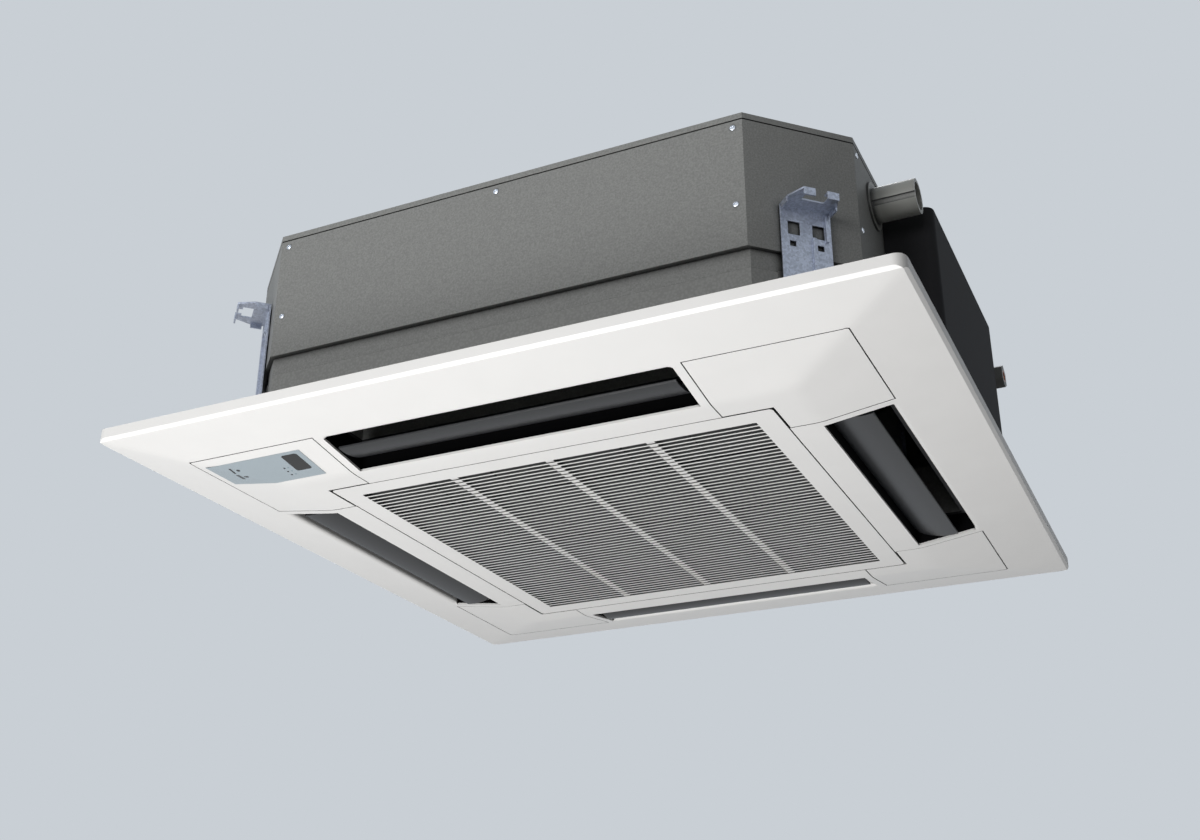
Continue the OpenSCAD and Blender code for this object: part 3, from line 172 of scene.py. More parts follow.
def tinted(tree, factor, base, low, high):
    """The base colour times low where the factor is 0.3 or less, rising to times high where
    it is 0.7 or more. Most of a noise lies between the two."""
    ramp = add(tree, "ShaderNodeMapRange", {"From Min": 0.3, "From Max": 0.7, "To Min": low,
                                            "To Max": high}, {"Value": factor})
    return add(tree, "ShaderNodeVectorMath", {"operation": "SCALE", 0: base[:3]},
               {"Scale": ramp.outputs["Result"]}).outputs["Vector"]


def dressed(tree, shader, shade, height, depth):
    """Gives the shader its colour and a relief of the given depth."""
    bump = add(tree, "ShaderNodeBump", {"Distance": depth}, {"Height": height})
    tree.links.new(shade, shader.inputs["Base Color"])
    tree.links.new(bump.outputs["Normal"], shader.inputs["Normal"])


def shaded_seams(tree, colour_out, reach, shut):
    """Paints shade into a colour where the surface is closed in by others within reach: narrow
    gaps and the spaces between slats are painted dark, as missing light would leave them. It is
    dark where the open share of the view is below the first value of shut, and keeps its colour
    above the second."""
    closed = add(tree, "ShaderNodeAmbientOcclusion", {"samples": 8, "Distance": reach})
    open_share = add(tree, "ShaderNodeMapRange", {"From Min": shut[0], "From Max": shut[1],
                                                  "To Min": 0.04, "To Max": 1.0},
                     {"Value": closed.outputs["AO"]})
    return add(tree, "ShaderNodeVectorMath", {"operation": "SCALE"},
               {0: colour_out, "Scale": open_share.outputs["Result"]}).outputs["Vector"]


def printed(tree, place, colour_out, ink, marks):
    """Prints marks on a colour. A mark is x, y, half its width and half its length, all in
    millimetres, and whether it is round: a point is inside where its distance over those
    halves, or for a bar the larger of the two shares, is less than 1."""
    for x, y, half_x, half_y, is_round in marks:
        off = add(tree, "ShaderNodeVectorMath",
                  {"operation": "SUBTRACT", 1: (x * MM, y * MM, 0)}, {0: place}).outputs["Vector"]
        halves = (1 / (half_x * MM), 1 / (half_y * MM), 0)
        share = add(tree, "ShaderNodeVectorMath", {"operation": "MULTIPLY", 1: halves}, {0: off})
        if is_round:
            far = add(tree, "ShaderNodeVectorMath", {"operation": "LENGTH"},
                      {0: share.outputs["Vector"]}).outputs["Value"]
        else:
            size = add(tree, "ShaderNodeVectorMath", {"operation": "ABSOLUTE"},
                       {0: share.outputs["Vector"]})
            parts = add(tree, "ShaderNodeSeparateXYZ", links={"Vector": size.outputs["Vector"]})
            far = add(tree, "ShaderNodeMath", {"operation": "MAXIMUM"},
                      {0: parts.outputs["X"], 1: parts.outputs["Y"]}).outputs[0]
        inside = add(tree, "ShaderNodeMath", {"operation": "LESS_THAN", 1: 1.0}, {0: far})
        colour_out = add(tree, "ShaderNodeMix", {"data_type": "RGBA", "B": ink},
                         {"Factor": inside.outputs[0], "A": colour_out}).outputs["Result"]
    return colour_out


def moulded_plastic(name, base, roughness, grain, ior=1.53, relief=0.02 * MM, seam_shade_reach=0,
                    shut=(0.55, 0.95), ink=None, marks=(), gloss=0.5):
    """Injection-moulded plastic. Its tool was spark-eroded, which leaves a fine even grain
    that scatters the highlight, and the sheen drifts slightly over the width of a hand."""
    material, tree, shader, place = finish(name, {"IOR": ior, "Roughness": roughness,
                                                  "Specular IOR Level": gloss})
    fine, wide = [add(tree, "ShaderNodeTexNoise", {"Scale": 1 / size}, {"Vector": place})
                  for size in (grain, 60 * MM)]
    shade = tinted(tree, wide.outputs["Fac"], base, 0.985, 1.01)
    shade = printed(tree, place, shade, ink, marks)
    # Painted shade: within this reach the colour is darkened where other surfaces close it in
    if seam_shade_reach:
        shade = shaded_seams(tree, shade, seam_shade_reach, shut)
    rough = add(tree, "ShaderNodeMapRange", {"From Min": 0.3, "From Max": 0.7,
                                             "To Min": roughness - 0.04,
                                             "To Max": roughness + 0.04},
                {"Value": fine.outputs["Fac"]})
    tree.links.new(rough.outputs["Result"], shader.inputs["Roughness"])
    dressed(tree, shader, shade, fine.outputs["Fac"], relief)
    return material


def powder_coat(name, base, speck, roughness=0.5, spread=0.14, gloss=0.3, seam_shade_reach=0,
                shut=(0.4, 0.95)):
    """Powder coat on steel sheet. The powder melts into orange peel of about 1.5 mm with
    paler and darker specks, drawn a little coarser than real so that they show."""
    material, tree, shader, place = finish(name, {"IOR": 1.5, "Roughness": roughness,
                                                  "Specular IOR Level": gloss})
    specks = add(tree, "ShaderNodeTexNoise", {"Scale": 1 / speck, "Detail": 3}, {"Vector": place})
    peel = add(tree, "ShaderNodeTexNoise", {"Scale": 1 / (1.5 * MM)}, {"Vector": place})
    shade = tinted(tree, specks.outputs["Fac"], base, 1 - spread, 1 + spread)
    # Painted shade: the coat is darkened where other surfaces close it in, as under steps and in
    # narrow gaps
    if seam_shade_reach:
        shade = shaded_seams(tree, shade, seam_shade_reach, shut)
    dressed(tree, shader, shade, peel.outputs["Fac"], 0.03 * MM)
    return material


def zinc_sheet(name, base, spangle=2.4 * MM, roughness=0.42):
    """Hot-dip galvanised sheet. The zinc freezes into crystals of some millimetres that each
    reflect a little differently, so the sheet looks mottled."""
    material, tree, shader, place = finish(name, {"Metallic": 0.8, "Roughness": roughness})
    cells = add(tree, "ShaderNodeTexVoronoi", {"Scale": 1 / spangle}, {"Vector": place})
    value = add(tree, "ShaderNodeSeparateColor", links={"Color": cells.outputs["Color"]})
    cloud = add(tree, "ShaderNodeTexNoise", {"Scale": 1 / (1.6 * MM), "Detail": 3},
                {"Vector": place}).outputs["Fac"]
    both = add(tree, "ShaderNodeMix", {"Factor": 0.5}, {"A": value.outputs["Red"], "B": cloud})
    shade = tinted(tree, both.outputs["Result"], base, 0.84, 1.14)
    rough = add(tree, "ShaderNodeMapRange", {"To Min": roughness - 0.1,
                                             "To Max": roughness + 0.1},
                {"Value": value.outputs["Green"]})
    tree.links.new(rough.outputs["Result"], shader.inputs["Roughness"])
    dressed(tree, shader, shade, cloud, 0.015 * MM)
    return material


def bare_metal(name, base, roughness, line=0.3 * MM):
    """Machined or drawn metal with fine turning marks."""
    material, tree, shader, place = finish(name, {"Metallic": 1.0, "Roughness": roughness})
    marks = add(tree, "ShaderNodeTexNoise", {"Scale": 1 / line, "Detail": 1},
                {"Vector": place}).outputs["Fac"]
    dressed(tree, shader, tinted(tree, marks, base, 0.92, 1.04), marks, 0.008 * MM)
    return material


def foam(name, base, bead, roughness=0.85):
    """Foamed plastic. Its beads or cells show as shallow pits, whose deeper parts are painted
    darker as shade.
    """
    material, tree, shader, place = finish(name, {"IOR": 1.45, "Roughness": roughness})
    beads = add(tree, "ShaderNodeTexVoronoi", {"Scale": 1 / bead}, {"Vector": place})
    pits = beads.outputs["Distance"]
    # Painted shade: the colour falls to 0.9 where the relief lies deepest
    dressed(tree, shader, tinted(tree, pits, base, 1.04, 0.9), pits, -0.12 * MM)
    return material


def fin_pack(name, base, pitch=2.4 * MM):
    """Pressed aluminium fins. They are stacked closer than 2 mm, and drawn wider apart so that
    they show, with painted shade darkening the bands between them. A wave texture of scale 1
    has 20 bands in a length of two pi."""
    material, tree, shader, place = finish(name, {"Metallic": 1.0, "Roughness": 0.4})
    waves = [add(tree, "ShaderNodeTexWave", {"Scale": 2 * math.pi / (20 * pitch),
                                             "bands_direction": axis}, {"Vector": place})
             for axis in ("X", "Y")]
    parts = add(tree, "ShaderNodeSeparateXYZ", links={"Vector": place})
    sizes = [add(tree, "ShaderNodeMath", {"operation": "ABSOLUTE"}, {0: parts.outputs[axis]})
             for axis in ("X", "Y")]
    side = add(tree, "ShaderNodeMath", {"operation": "GREATER_THAN"},
               {0: sizes[0].outputs[0], 1: sizes[1].outputs[0]})
    lines = add(tree, "ShaderNodeMix", links={"Factor": side.outputs[0],
                                              "A": waves[0].outputs["Fac"],
                                              "B": waves[1].outputs["Fac"]}).outputs["Result"]
    # Painted shade: the low bands between fins fall to 0.45 of the colour
    dressed(tree, shader, tinted(tree, lines, base, 0.45, 1.05), lines, 0.3 * MM)
    return material


# Marks and pale windows: x, y, half width, half length in millimetres, and whether round
FILM_MARKS = ((-360.6, -367.3, 1.4, 6.3, False),
              (-361.3, -350.2, 2.6, 7.2, False),
              (-352.8, -366.4, 2.3, 2.3, True),
              (-352.9, -350.4, 3.6, 2.6, True))
PALE_LAMPS = ((-290.5, -345.5, 2.5, 12, False),)


def finishes(colours):
    """Every material of the object, under the name of its real finish."""
    return {
        # Painted shade darkens the white plastic in the narrow gaps round the covers and grille
        "white_abs": moulded_plastic("white_abs", colours.panel, 0.42, 0.55 * MM,
                                     seam_shade_reach=5 * MM),
        # Painted shade darkens the grille's ribs and the gaps between its slats, over a reach of
        # 30 mm
        "grille_abs": moulded_plastic("white_grille_abs", colours.panel, 0.42, 0.55 * MM,
                                      seam_shade_reach=30 * MM, shut=(0.55, 0.98)),
        "black_abs": moulded_plastic("black_abs", colours.duct, 0.7, 0.5 * MM, gloss=0.05),
        "louvre_abs": moulded_plastic("louvre_abs", colours.louvre, 0.36, 0.5 * MM, gloss=0.3),
        # Painted shade darkens the casing under its step and in its grooves, over a reach of 12
        # mm
        "casing_coat": powder_coat("casing_powder_coat", colours.casing, 1.8 * MM, spread=0.16,
                                   seam_shade_reach=12 * MM),
        "pan_foam": foam("coated_drain_pan_foam", colours.pan, 3.2 * MM, 0.7),
        "zinc": zinc_sheet("galvanised_sheet", colours.zinc),
        "box_coat": powder_coat("black_powder_coat", colours.box, 0.8 * MM, 0.8, 0.1, 0.12),
        "film": moulded_plastic("polyester_film", colours.film, 0.28, 0.4 * MM, 1.58,
                                0.004 * MM, ink=colours.ink, marks=FILM_MARKS),
        "window": moulded_plastic("smoked_acrylic", linear("161718"), 0.09, 2 * MM, 1.49,
                                  0.001 * MM),
        "lamp": moulded_plastic("lamp_polycarbonate", linear("2B3034"), 0.15, 1 * MM, 1.58,
                                0.001 * MM, ink=linear("8B9CA4"), marks=PALE_LAMPS),
        "bright_zinc": bare_metal("bright_zinc_plate", linear("D9DDE4"), 0.24),
        "steel": bare_metal("ground_steel", linear("B5B5B4"), 0.3),
        "spring": bare_metal("spring_steel", linear("9A9DA2"), 0.3, 0.6 * MM),
        "motor_can": zinc_sheet("motor_can_zinc", linear("B9BCC0"), 6 * MM, 0.4),
        "copper": bare_metal("drawn_copper", linear("C98A6B"), 0.28, 1.2 * MM),
        "fins": fin_pack("aluminium_fins", linear("C9CCD0")),
        "rubber": moulded_plastic("black_rubber", linear("19191A"), 0.75, 0.8 * MM, 1.52),
        "seal": foam("seal_foam", linear("2C2D2F"), 1.2 * MM),
        "lining": foam("lining_foam", linear("8B8C8E"), 1.6 * MM),
        "bell_abs": moulded_plastic("bell_mouth_abs", linear("55575A"), 0.45, 0.6 * MM),
        "fan_abs": moulded_plastic("glass_filled_abs", linear("A8A9AA"), 0.4, 0.7 * MM),
        "filter_pp": moulded_plastic("filter_polypropylene", linear("151618"), 0.5, 0.6 * MM,
                                     1.49),
        "net": moulded_plastic("net_polypropylene", linear("0D0E0F"), 0.6, 0.4 * MM, 1.49),
        "nut_coat": powder_coat("grey_nut_coat", linear("6A6B69"), 0.8 * MM, 0.45, 0.08),
        "white_pp": moulded_plastic("white_polypropylene", linear("E6E5DF"), 0.4, 0.8 * MM,
                                    1.49),
        "orange_pp": moulded_plastic("orange_polypropylene", linear("D9782B"), 0.45, 0.8 * MM,
                                     1.49),
        "board": moulded_plastic("solder_mask", linear("1F5B3C"), 0.3, 1.2 * MM, 1.55,
                                 0.01 * MM),
        # Painted shade darkens the floor of the drain socket's groove
        "socket_pvc": moulded_plastic("grey_pvc", linear("A8A9A4"), 0.42, 0.7 * MM,
                                      seam_shade_reach=8 * MM, shut=(0.6, 1.0)),
        "hose_pvc": moulded_plastic("soft_pvc", linear("B4B6B7"), 0.5, 0.8 * MM, 1.52),
    }


CORNERS = ("front_left", "front_right", "rear_right", "rear_left")
COVERS = tuple("corner_cover_" + corner for corner in CORNERS)
BRACKETS = tuple("hanger_bracket_" + corner for corner in CORNERS)
LOUVRES = tuple("louvre_" + side for side in ("front", "right", "rear", "left"))
NODE_FINISH = {
    **dict.fromkeys(COVERS, "white_abs"),
    **dict.fromkeys(LOUVRES, "louvre_abs"),
    **dict.fromkeys(BRACKETS, "zinc"),
    "decorative_panel": "white_abs", "intake_grille": "grille_abs",
    "display_film": "film", "receiver_window": "window", "indicator_lamps": "lamp",
    "display_board": "board", "grille_hinge_pins": "steel", "grille_clips": "spring",
    "filter_frame": "filter_pp", "filter_net": "net",
    "outlet_ducts": "black_abs", "louvre_motors": "motor_can", "louvre_bushes": "white_pp",
    "panel_seal": "seal", "panel_screws": "bright_zinc", "upper_casing": "casing_coat",
    "top_plate": "casing_coat", "lower_casing": "casing_coat", "casing_screws": "bright_zinc",
    "wall_lining": "lining", "top_lining": "lining", "drain_pan": "pan_foam",
    "bell_mouth": "bell_abs", "turbo_fan": "fan_abs", "motor_shaft": "steel",
    "fan_nut": "bright_zinc", "fan_motor": "motor_can", "motor_rubbers": "rubber",
    "motor_bolts": "bright_zinc", "coil_fins": "fins", "coil_end_plates": "zinc",
    "coil_return_bends": "copper", "gas_pipe": "copper", "liquid_pipe": "copper",
    "flare_nuts": "nut_coat", "pipe_plate": "casing_coat", "bracket_bolts": "bright_zinc",
    "control_box_tray": "zinc", "control_box_cover": "box_coat", "control_board": "board",
    "terminal_block": "white_pp", "drain_pump": "white_pp", "pump_impeller": "white_pp",
    "pump_bracket": "zinc", "float_switch": "white_pp", "float": "orange_pp",
    "drain_hose": "hose_pvc", "drain_socket": "socket_pvc",
}


def body_of(node):
    """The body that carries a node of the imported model."""
    for body, nodes in frame["record"]["behaviour"]["bodies"].items():
        if node in nodes:
            return body
    raise ValueError(f"no body carries {node}")


def soft_rise(sizes, points):
    """How much higher the softly folded skin lies than the sharp one, at each point. The
    sharp skin rises with t, the larger of |x| and |y| less half the flat. Soft, the larger
    value gains k h h / 4 near the diagonals, where h falls from 1 to 0 over the width k, and
    the start of the rise is the parabola (t + w) (t + w) / 4w between -w and w."""
    x, y = np.abs(points[:, 0]), np.abs(points[:, 1])
    near = np.clip(1 - np.abs(x - y) / sizes.mitre, 0, 1)
    sharp = np.maximum(x, y) - sizes.flat
    t = sharp + near ** 2 * sizes.mitre / 4
    ramp = np.where(np.abs(t) < sizes.fold, (t + sizes.fold) ** 2 / (4 * sizes.fold),
                    np.maximum(t, 0))
    return (ramp - np.maximum(sharp, 0)) * sizes.slope


def outlet_rise(sizes, points, band=0.5 * MM, slack=0.05 * MM):
    """How far the lower skin turns up into each outlet, at each point. Over a width w beyond
    the outlet's outer edge it is w less the root of w w - s s, where s falls from w at the
    edge to 0, and it fades out over w before the outlet's ends. Points further than the band
    from the skin stay, and so do those that lie inside the edge by more than the slack."""
    x, y = np.abs(points[:, 0]), np.abs(points[:, 1])
    far, near, width = np.maximum(x, y), np.minimum(x, y), sizes.outlet_round
    skin = points[:, 2].min() + np.maximum(far - sizes.flat, 0) * sizes.slope
    s = np.clip(width - (far - sizes.outlet_outer), 0, width)
    fade = np.clip((sizes.outlet_half - near) / width, 0, 1)
    turned = (np.abs(points[:, 2] - skin) < band) & (far > sizes.outlet_outer - slack)
    return np.where(turned, (width - np.sqrt(width ** 2 - s ** 2)) * fade, 0)


def fold_lines(sizes):
    """Lines beside the folds and the diagonals, each a direction and a distance along it."""
    lines = []
    for share in (-1, -0.5, 0, 0.5, 1):
        lines += [(side, sizes.flat + share * sizes.fold) for side in SIDES]
        lines += [(side, share * sizes.mitre / math.sqrt(2)) for side in DIAGONALS]
    return lines


def outlet_lines(sizes):
    """Lines beside the outlets' outer edges and before their ends."""
    width = sizes.outlet_round
    places = [sizes.outlet_outer + width * share for share in (0, 0.05, 0.15, 0.3, 0.5, 0.75, 1)]
    places += [sizes.outlet_half - width * share for share in (0, 0.5, 1)]
    return [(side, place) for side in SIDES for place in places]


def cut_along(shape, lines):
    """Cuts the mesh along lines, so that it can bend there."""
    for normal, distance in lines:
        unit = np.array(normal) / np.linalg.norm(normal)
        bmesh.ops.bisect_plane(shape, geom=shape.verts[:] + shape.edges[:] + shape.faces[:],
                               dist=TOUCH, plane_co=unit * distance, plane_no=unit)


def rounded(shape, width, segments, chosen, sharp=math.radians(20)):
    """Rounds the sharp convex edges whose two ends are both chosen."""
    edges = [edge for edge in shape.edges
             if edge.is_manifold and edge.calc_face_angle_signed() > sharp
             and all(chosen(vertex.co) for vertex in edge.verts)]
    bmesh.ops.bevel(shape, geom=edges, offset=width, offset_type="OFFSET", segments=segments,
                    profile=0.5, affect="EDGES", clamp_overlap=True)


def round_rim(shape, sizes, reach=5 * MM, top=-10 * MM):
    """Rounds both edges of the bevel along the panel's rim, which lie within reach of its
    sides and below the top, and cuts the lines of the folds and the outlets."""
    rounded(shape, sizes.rim, 4,
            lambda co: max(abs(co.x), abs(co.y)) > sizes.panel_half - reach and co.z < top)
    cut_along(shape, fold_lines(sizes) + outlet_lines(sizes))


def cut_folds(shape, sizes):
    """Cuts a cover along the lines of the folds."""
    cut_along(shape, fold_lines(sizes))


def round_box(shape, sizes, slack=0.1 * MM):
    """Rounds the edges round the control box's outer face."""
    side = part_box("control_box_cover")[1][0]
    rounded(shape, sizes.box_edge, 5, lambda co: co.x > side - slack)


def softened(node, width, first=None, bends=(), flat=math.radians(0.4)):
    """Replaces a node by a copy with its loose triangles merged, faces made whole that lie
    flat within an angle, and each edge sharper than a crease rounded to the width. Before the
    rounding, the function first shapes the mesh, and after it each bend lifts its points."""
    sizes = bpy.context.scene.cassette_sizes
    mesh = frame["nodes"][node].data.copy()
    shape = bmesh.new()
    shape.from_mesh(mesh)
    bmesh.ops.remove_doubles(shape, verts=shape.verts, dist=2 * TOUCH)
    bmesh.ops.dissolve_limit(shape, angle_limit=flat, verts=shape.verts, edges=shape.edges)
    if first:
        first(shape, sizes)
    shape.to_mesh(mesh)
    shape.free()
    piece = bpy.data.objects.new(node + "_soft", mesh)
    bpy.context.scene.collection.objects.link(piece)
    bevel = piece.modifiers.new("edges", "BEVEL")
    bevel.width = width
    bevel.segments = 2
    bevel.limit_method = "ANGLE"
    bevel.angle_limit = CREASE
    baked = bpy.data.meshes.new_from_object(piece.evaluated_get(
        bpy.context.evaluated_depsgraph_get()))
    piece.modifiers.clear()
    piece.data = baked
    if bends:
        points = np.empty(len(baked.vertices) * 3)
        baked.vertices.foreach_get("co", points)
        points = points.reshape(-1, 3)
        points[:, 2] += sum(bend(sizes, points) for bend in bends)
        baked.vertices.foreach_set("co", points.ravel())
        baked.update()
    baked.shade_smooth()
    baked.set_sharp_from_angle(angle=CREASE)
    baked.materials.clear()
    baked.materials.append(bpy.data.materials[MATERIALS[NODE_FINISH[node]]])
    shading = piece.modifiers.new("flat_faces", "WEIGHTED_NORMAL")
    shading.keep_sharp = True
    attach(piece, body_of(node))
    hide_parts(node)


def surface(name, grids, finish_key):
    """An object of grids of points, copies by rows by columns by 3. Each grid's rows close
    round on themselves, and the points that fall together at its poles are merged."""
    copies, rows, columns = grids.shape[:3]
    index = np.arange(copies * rows * columns).reshape(copies, rows, columns)
    after = np.roll(index, -1, axis=2)
    quads = np.stack([index[:, :-1], after[:, :-1], after[:, 1:], index[:, 1:]], axis=-1)
    mesh = bpy.data.meshes.new(name)
    mesh.from_pydata(grids.reshape(-1, 3).tolist(), [], quads.reshape(-1, 4).tolist())
    shape = bmesh.new()
    shape.from_mesh(mesh)
    bmesh.ops.remove_doubles(shape, verts=shape.verts, dist=TOUCH)
    bmesh.ops.recalc_face_normals(shape, faces=shape.faces)
    shape.to_mesh(mesh)
    shape.free()
    mesh.shade_smooth()
    mesh.set_sharp_from_angle(angle=CREASE)
    mesh.materials.append(bpy.data.materials[MATERIALS[finish_key]])
    piece = bpy.data.objects.new(name, mesh)
    bpy.context.scene.collection.objects.link(piece)
    return piece


def screw_surface(sizes, turns=48, rings=22, rim_share=0.35, half=0.125, half_wall=0.075,
                  arm=0.55, arm_wall=0.07, depth=0.55):
    """A profile carried once round the z axis, with its seat at z 0: up the shank, out under
    the head, up its side and in over the dome. The dome's height is the rise times the share
    of its rim plus the rest times the root of one less the square of radius over head. A cross
    is sunk into it by the depth, a share of the rise. As shares of the head's radius, it is
    full where the smaller of |x| and |y| is under half and the larger under arm, and its walls
    slope over half_wall and arm_wall beyond that."""
    spread = np.linspace(1, 0, rings)
    radius = np.concatenate([[0, sizes.shank, sizes.shank, sizes.head], sizes.head * spread])
    height = np.concatenate([[-sizes.shank_length, -sizes.shank_length, 0, 0],
                             sizes.head_rise * (rim_share + (1 - rim_share)
                                                * np.sqrt(1 - spread ** 2))])
    angle = np.linspace(0, 2 * math.pi, turns, endpoint=False)
    x, y = radius[:, None] * np.cos(angle), radius[:, None] * np.sin(angle)
    near = np.minimum(np.abs(x), np.abs(y)) / sizes.head
    far = np.maximum(np.abs(x), np.abs(y)) / sizes.head
    on_dome = (np.arange(len(radius)) > len(radius) - rings - 1)[:, None]
    sunk = (np.clip((half + half_wall - near) / half_wall, 0, 1)
            * np.clip((arm + arm_wall - far) / arm_wall, 0, 1) * on_dome)
    z = height[:, None] - depth * sizes.head_rise * sunk
    return np.stack([x, y, z], axis=-1)


class CASSETTE_OT_finishes(bpy.types.Operator):
    """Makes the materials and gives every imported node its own"""
    bl_idname = "cassette.finishes"
    bl_label = "Finishes"

    def execute(self, context):
        made = finishes(context.scene.cassette_colours)
        MATERIALS.update({key: material.name for key, material in made.items()})
        for node, key in NODE_FINISH.items():
            data = frame["nodes"][node].data
            data.materials.clear()
            data.materials.append(made[key])
        return {"FINISHED"}


class CASSETTE_OT_shells(bpy.types.Operator):
    """Rounds the edges of the moulded and sheet-metal shells"""
    bl_idname = "cassette.shells"
    bl_label = "Shells"

    def execute(self, context):
        sizes = context.scene.cassette_sizes
        softened("decorative_panel", sizes.edge, first=round_rim,
                 bends=(soft_rise, outlet_rise))
        for node in COVERS:
            softened(node, sizes.edge, first=cut_folds, bends=(soft_rise,))
        softened("intake_grille", sizes.slat_edge)
        for node in LOUVRES:
            softened(node, sizes.edge)
        for node in ("upper_casing", "top_plate", "lower_casing", "pipe_plate") + BRACKETS:
            softened(node, sizes.sheet_edge)
        softened("control_box_cover", sizes.box_rest, first=round_box)
        softened("drain_pan", sizes.pan_edge)
        for node in ("drain_socket", "bell_mouth", "turbo_fan", "filter_frame"):
            softened(node, sizes.edge)
        return {"FINISHED"}


class CASSETTE_OT_screws(bpy.types.Operator):
    """Gives the casing screws domed heads with a cross"""
    bl_idname = "cassette.screws"
    bl_label = "Casing screws"

    def execute(self, context):
        sizes = context.scene.cassette_sizes
        mesh = frame["nodes"]["casing_screws"].data
        points = np.empty(len(mesh.vertices) * 3)
        mesh.vertices.foreach_get("co", points)
        points = points.reshape(-1, 3)
        face = -points[:, 1].min() - sizes.head_rise
        front = points[points[:, 1] < -face - sizes.head_rise / 2]
        along = front[:, 0].max() - sizes.head
        low, high = front[:, 2].min() + sizes.head, front[:, 2].max() - sizes.head
        seats = np.array([(-along, high), (0, high), (along, high), (-along, low),
                          (along, low)])
        local = screw_surface(sizes)
        copies = []
        for quarter in range(4):
            c, s = round(math.cos(quarter * math.pi / 2)), round(math.sin(quarter * math.pi / 2))
            turn = np.array([(c, -s, 0), (s, c, 0), (0, 0, 1)])
            for u, z in seats:
                stood = local[..., [0, 2, 1]] * (1, -1, 1) + (u, -face, z)
                copies.append(stood @ turn.T)
        piece = surface("casing_screw_heads", np.array(copies), "bright_zinc")
        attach(piece, body_of("casing_screws"))
        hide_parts("casing_screws")
        return {"FINISHED"}


# Name, place, side in metres and power in watts of each lamp
LAMPS = (("low_key", (-0.38, -1.3, -1.85), 1.2, 45),
         ("front_key", (-0.62, -2.75, 0.28), 1.0, 21),
         ("side_fill", (0.9, -3.0, 0.25), 1.0, 6),
         ("back", (-1.0, 1.8, 2.4), 1.8, 70),
         ("floor_wash", (0, 0, -0.9), 16.0, 560))


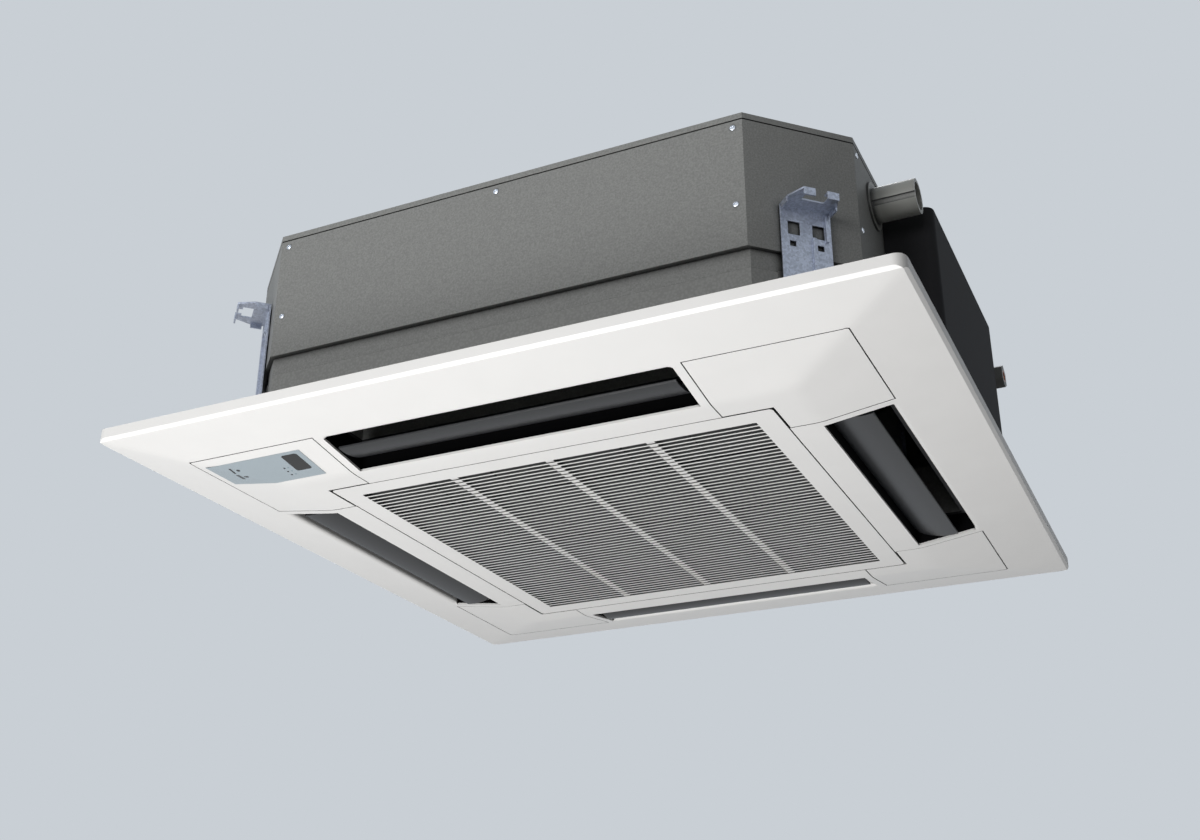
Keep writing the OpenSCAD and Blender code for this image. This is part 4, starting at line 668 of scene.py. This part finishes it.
class CASSETTE_OT_stage(bpy.types.Operator):
    """Sets the floor, backdrop, lamps and camera"""
    bl_idname = "cassette.stage"
    bl_label = "Stage"

    def execute(self, context):
        studio = context.scene.cassette_studio
        self.floor(studio)
        self.world(context.scene, studio)
        for name, place, size, power in LAMPS:
            self.lamp(name, place, size, power)
        self.camera(context.scene, studio)
        context.scene.view_settings.view_transform = "Standard"
        return {"FINISHED"}

    def floor(self, studio):
        """A wide plain floor below the object. It sends no light back up to it."""
        half = studio.floor_half
        mesh = bpy.data.meshes.new("floor")
        mesh.from_pydata([(x * half, y * half, studio.floor_z)
                          for x, y in ((-1, -1), (1, -1), (1, 1), (-1, 1))], [], [(0, 1, 2, 3)])
        floor = bpy.data.objects.new("floor", mesh)
        bpy.context.scene.collection.objects.link(floor)
        material, tree, shader, place = finish("painted_floor", {"Roughness": 0.9})
        patches = add(tree, "ShaderNodeTexNoise", {"Scale": 1 / 0.4}, {"Vector": place})
        tree.links.new(tinted(tree, patches.outputs["Fac"], studio.floor, 0.99, 1.01),
                       shader.inputs["Base Color"])
        mesh.materials.append(material)
        floor.visible_diffuse = False

    def world(self, scene, studio):
        """Even light from all round, and a plain backdrop for the camera, gloss and glass."""
        world = bpy.data.worlds.new("studio")
        scene.world = world
        world.use_nodes = True
        tree = world.node_tree
        tree.nodes.clear()
        rays = add(tree, "ShaderNodeLightPath")
        seen = rays.outputs["Is Camera Ray"]
        for name in ("Is Glossy Ray", "Is Transmission Ray"):
            seen = add(tree, "ShaderNodeMath", {"operation": "MAXIMUM"},
                       {0: seen, 1: rays.outputs[name]}).outputs[0]
        light = add(tree, "ShaderNodeBackground", {"Color": (1, 1, 1, 1),
                                                    "Strength": studio.fill})
        shown = add(tree, "ShaderNodeBackground", {"Color": studio.backdrop, "Strength": 1.0})
        mix = add(tree, "ShaderNodeMixShader", links={"Fac": seen, 1: light.outputs[0],
                                                      2: shown.outputs[0]})
        add(tree, "ShaderNodeOutputWorld", links={"Surface": mix.outputs[0]})

    def lamp(self, name, place, size, power):
        """A soft square lamp aimed at the object. Right below the object it shines down."""
        data = bpy.data.lights.new(name, "AREA")
        data.size = size
        data.energy = power
        lamp = bpy.data.objects.new(name, data)
        bpy.context.scene.collection.objects.link(lamp)
        lamp.location = place
        aim = -np.array(place)
        reach = math.hypot(aim[0], aim[1])
        if reach > 0:
            lamp.rotation_euler = (math.pi / 2 + math.atan2(aim[2], reach), 0,
                                   math.atan2(aim[1], aim[0]) - math.pi / 2)

    def camera(self, scene, studio):
        """The camera at the photograph's viewing angle."""
        data = bpy.data.cameras.new("camera")
        data.sensor_width = studio.sensor
        data.lens = studio.lens
        camera = bpy.data.objects.new("camera", data)
        scene.collection.objects.link(camera)
        camera.location = studio.place
        camera.rotation_euler = studio.turn
        scene.camera = camera


class CASSETTE_PT_panel(bpy.types.Panel):
    """Sizes, colours and the steps that build the object"""
    bl_idname = "CASSETTE_PT_panel"
    bl_label = "Cassette"
    bl_space_type = "VIEW_3D"
    bl_region_type = "UI"
    bl_category = "Cassette"

    def draw(self, context):
        for group in (context.scene.cassette_sizes, context.scene.cassette_colours,
                      context.scene.cassette_studio):
            for name in group.bl_rna.properties.keys():
                if name not in ("name", "rna_type"):
                    self.layout.prop(group, name)
        for operator in STEPS:
            self.layout.operator(operator.bl_idname)


GROUPS = (CassetteSizes, CassetteColours, CassetteStudio)
STEPS = (CASSETTE_OT_finishes, CASSETTE_OT_shells, CASSETTE_OT_screws, CASSETTE_OT_stage)


def register():
    """Adds the groups, steps and panel to Blender."""
    for group in GROUPS + STEPS + (CASSETTE_PT_panel,):
        bpy.utils.register_class(group)
    bpy.types.Scene.cassette_sizes = PointerProperty(type=CassetteSizes)
    bpy.types.Scene.cassette_colours = PointerProperty(type=CassetteColours)
    bpy.types.Scene.cassette_studio = PointerProperty(type=CassetteStudio)


def unregister():
    """Takes them away again."""
    del bpy.types.Scene.cassette_studio
    del bpy.types.Scene.cassette_colours
    del bpy.types.Scene.cassette_sizes
    for group in reversed(GROUPS + STEPS + (CASSETTE_PT_panel,)):
        bpy.utils.unregister_class(group)


def main():
    """Builds the object step by step."""
    register()
    for step in STEPS:
        area, name = step.bl_idname.split(".")
        getattr(getattr(bpy.ops, area), name)()


if __name__ == "__main__":
    main()
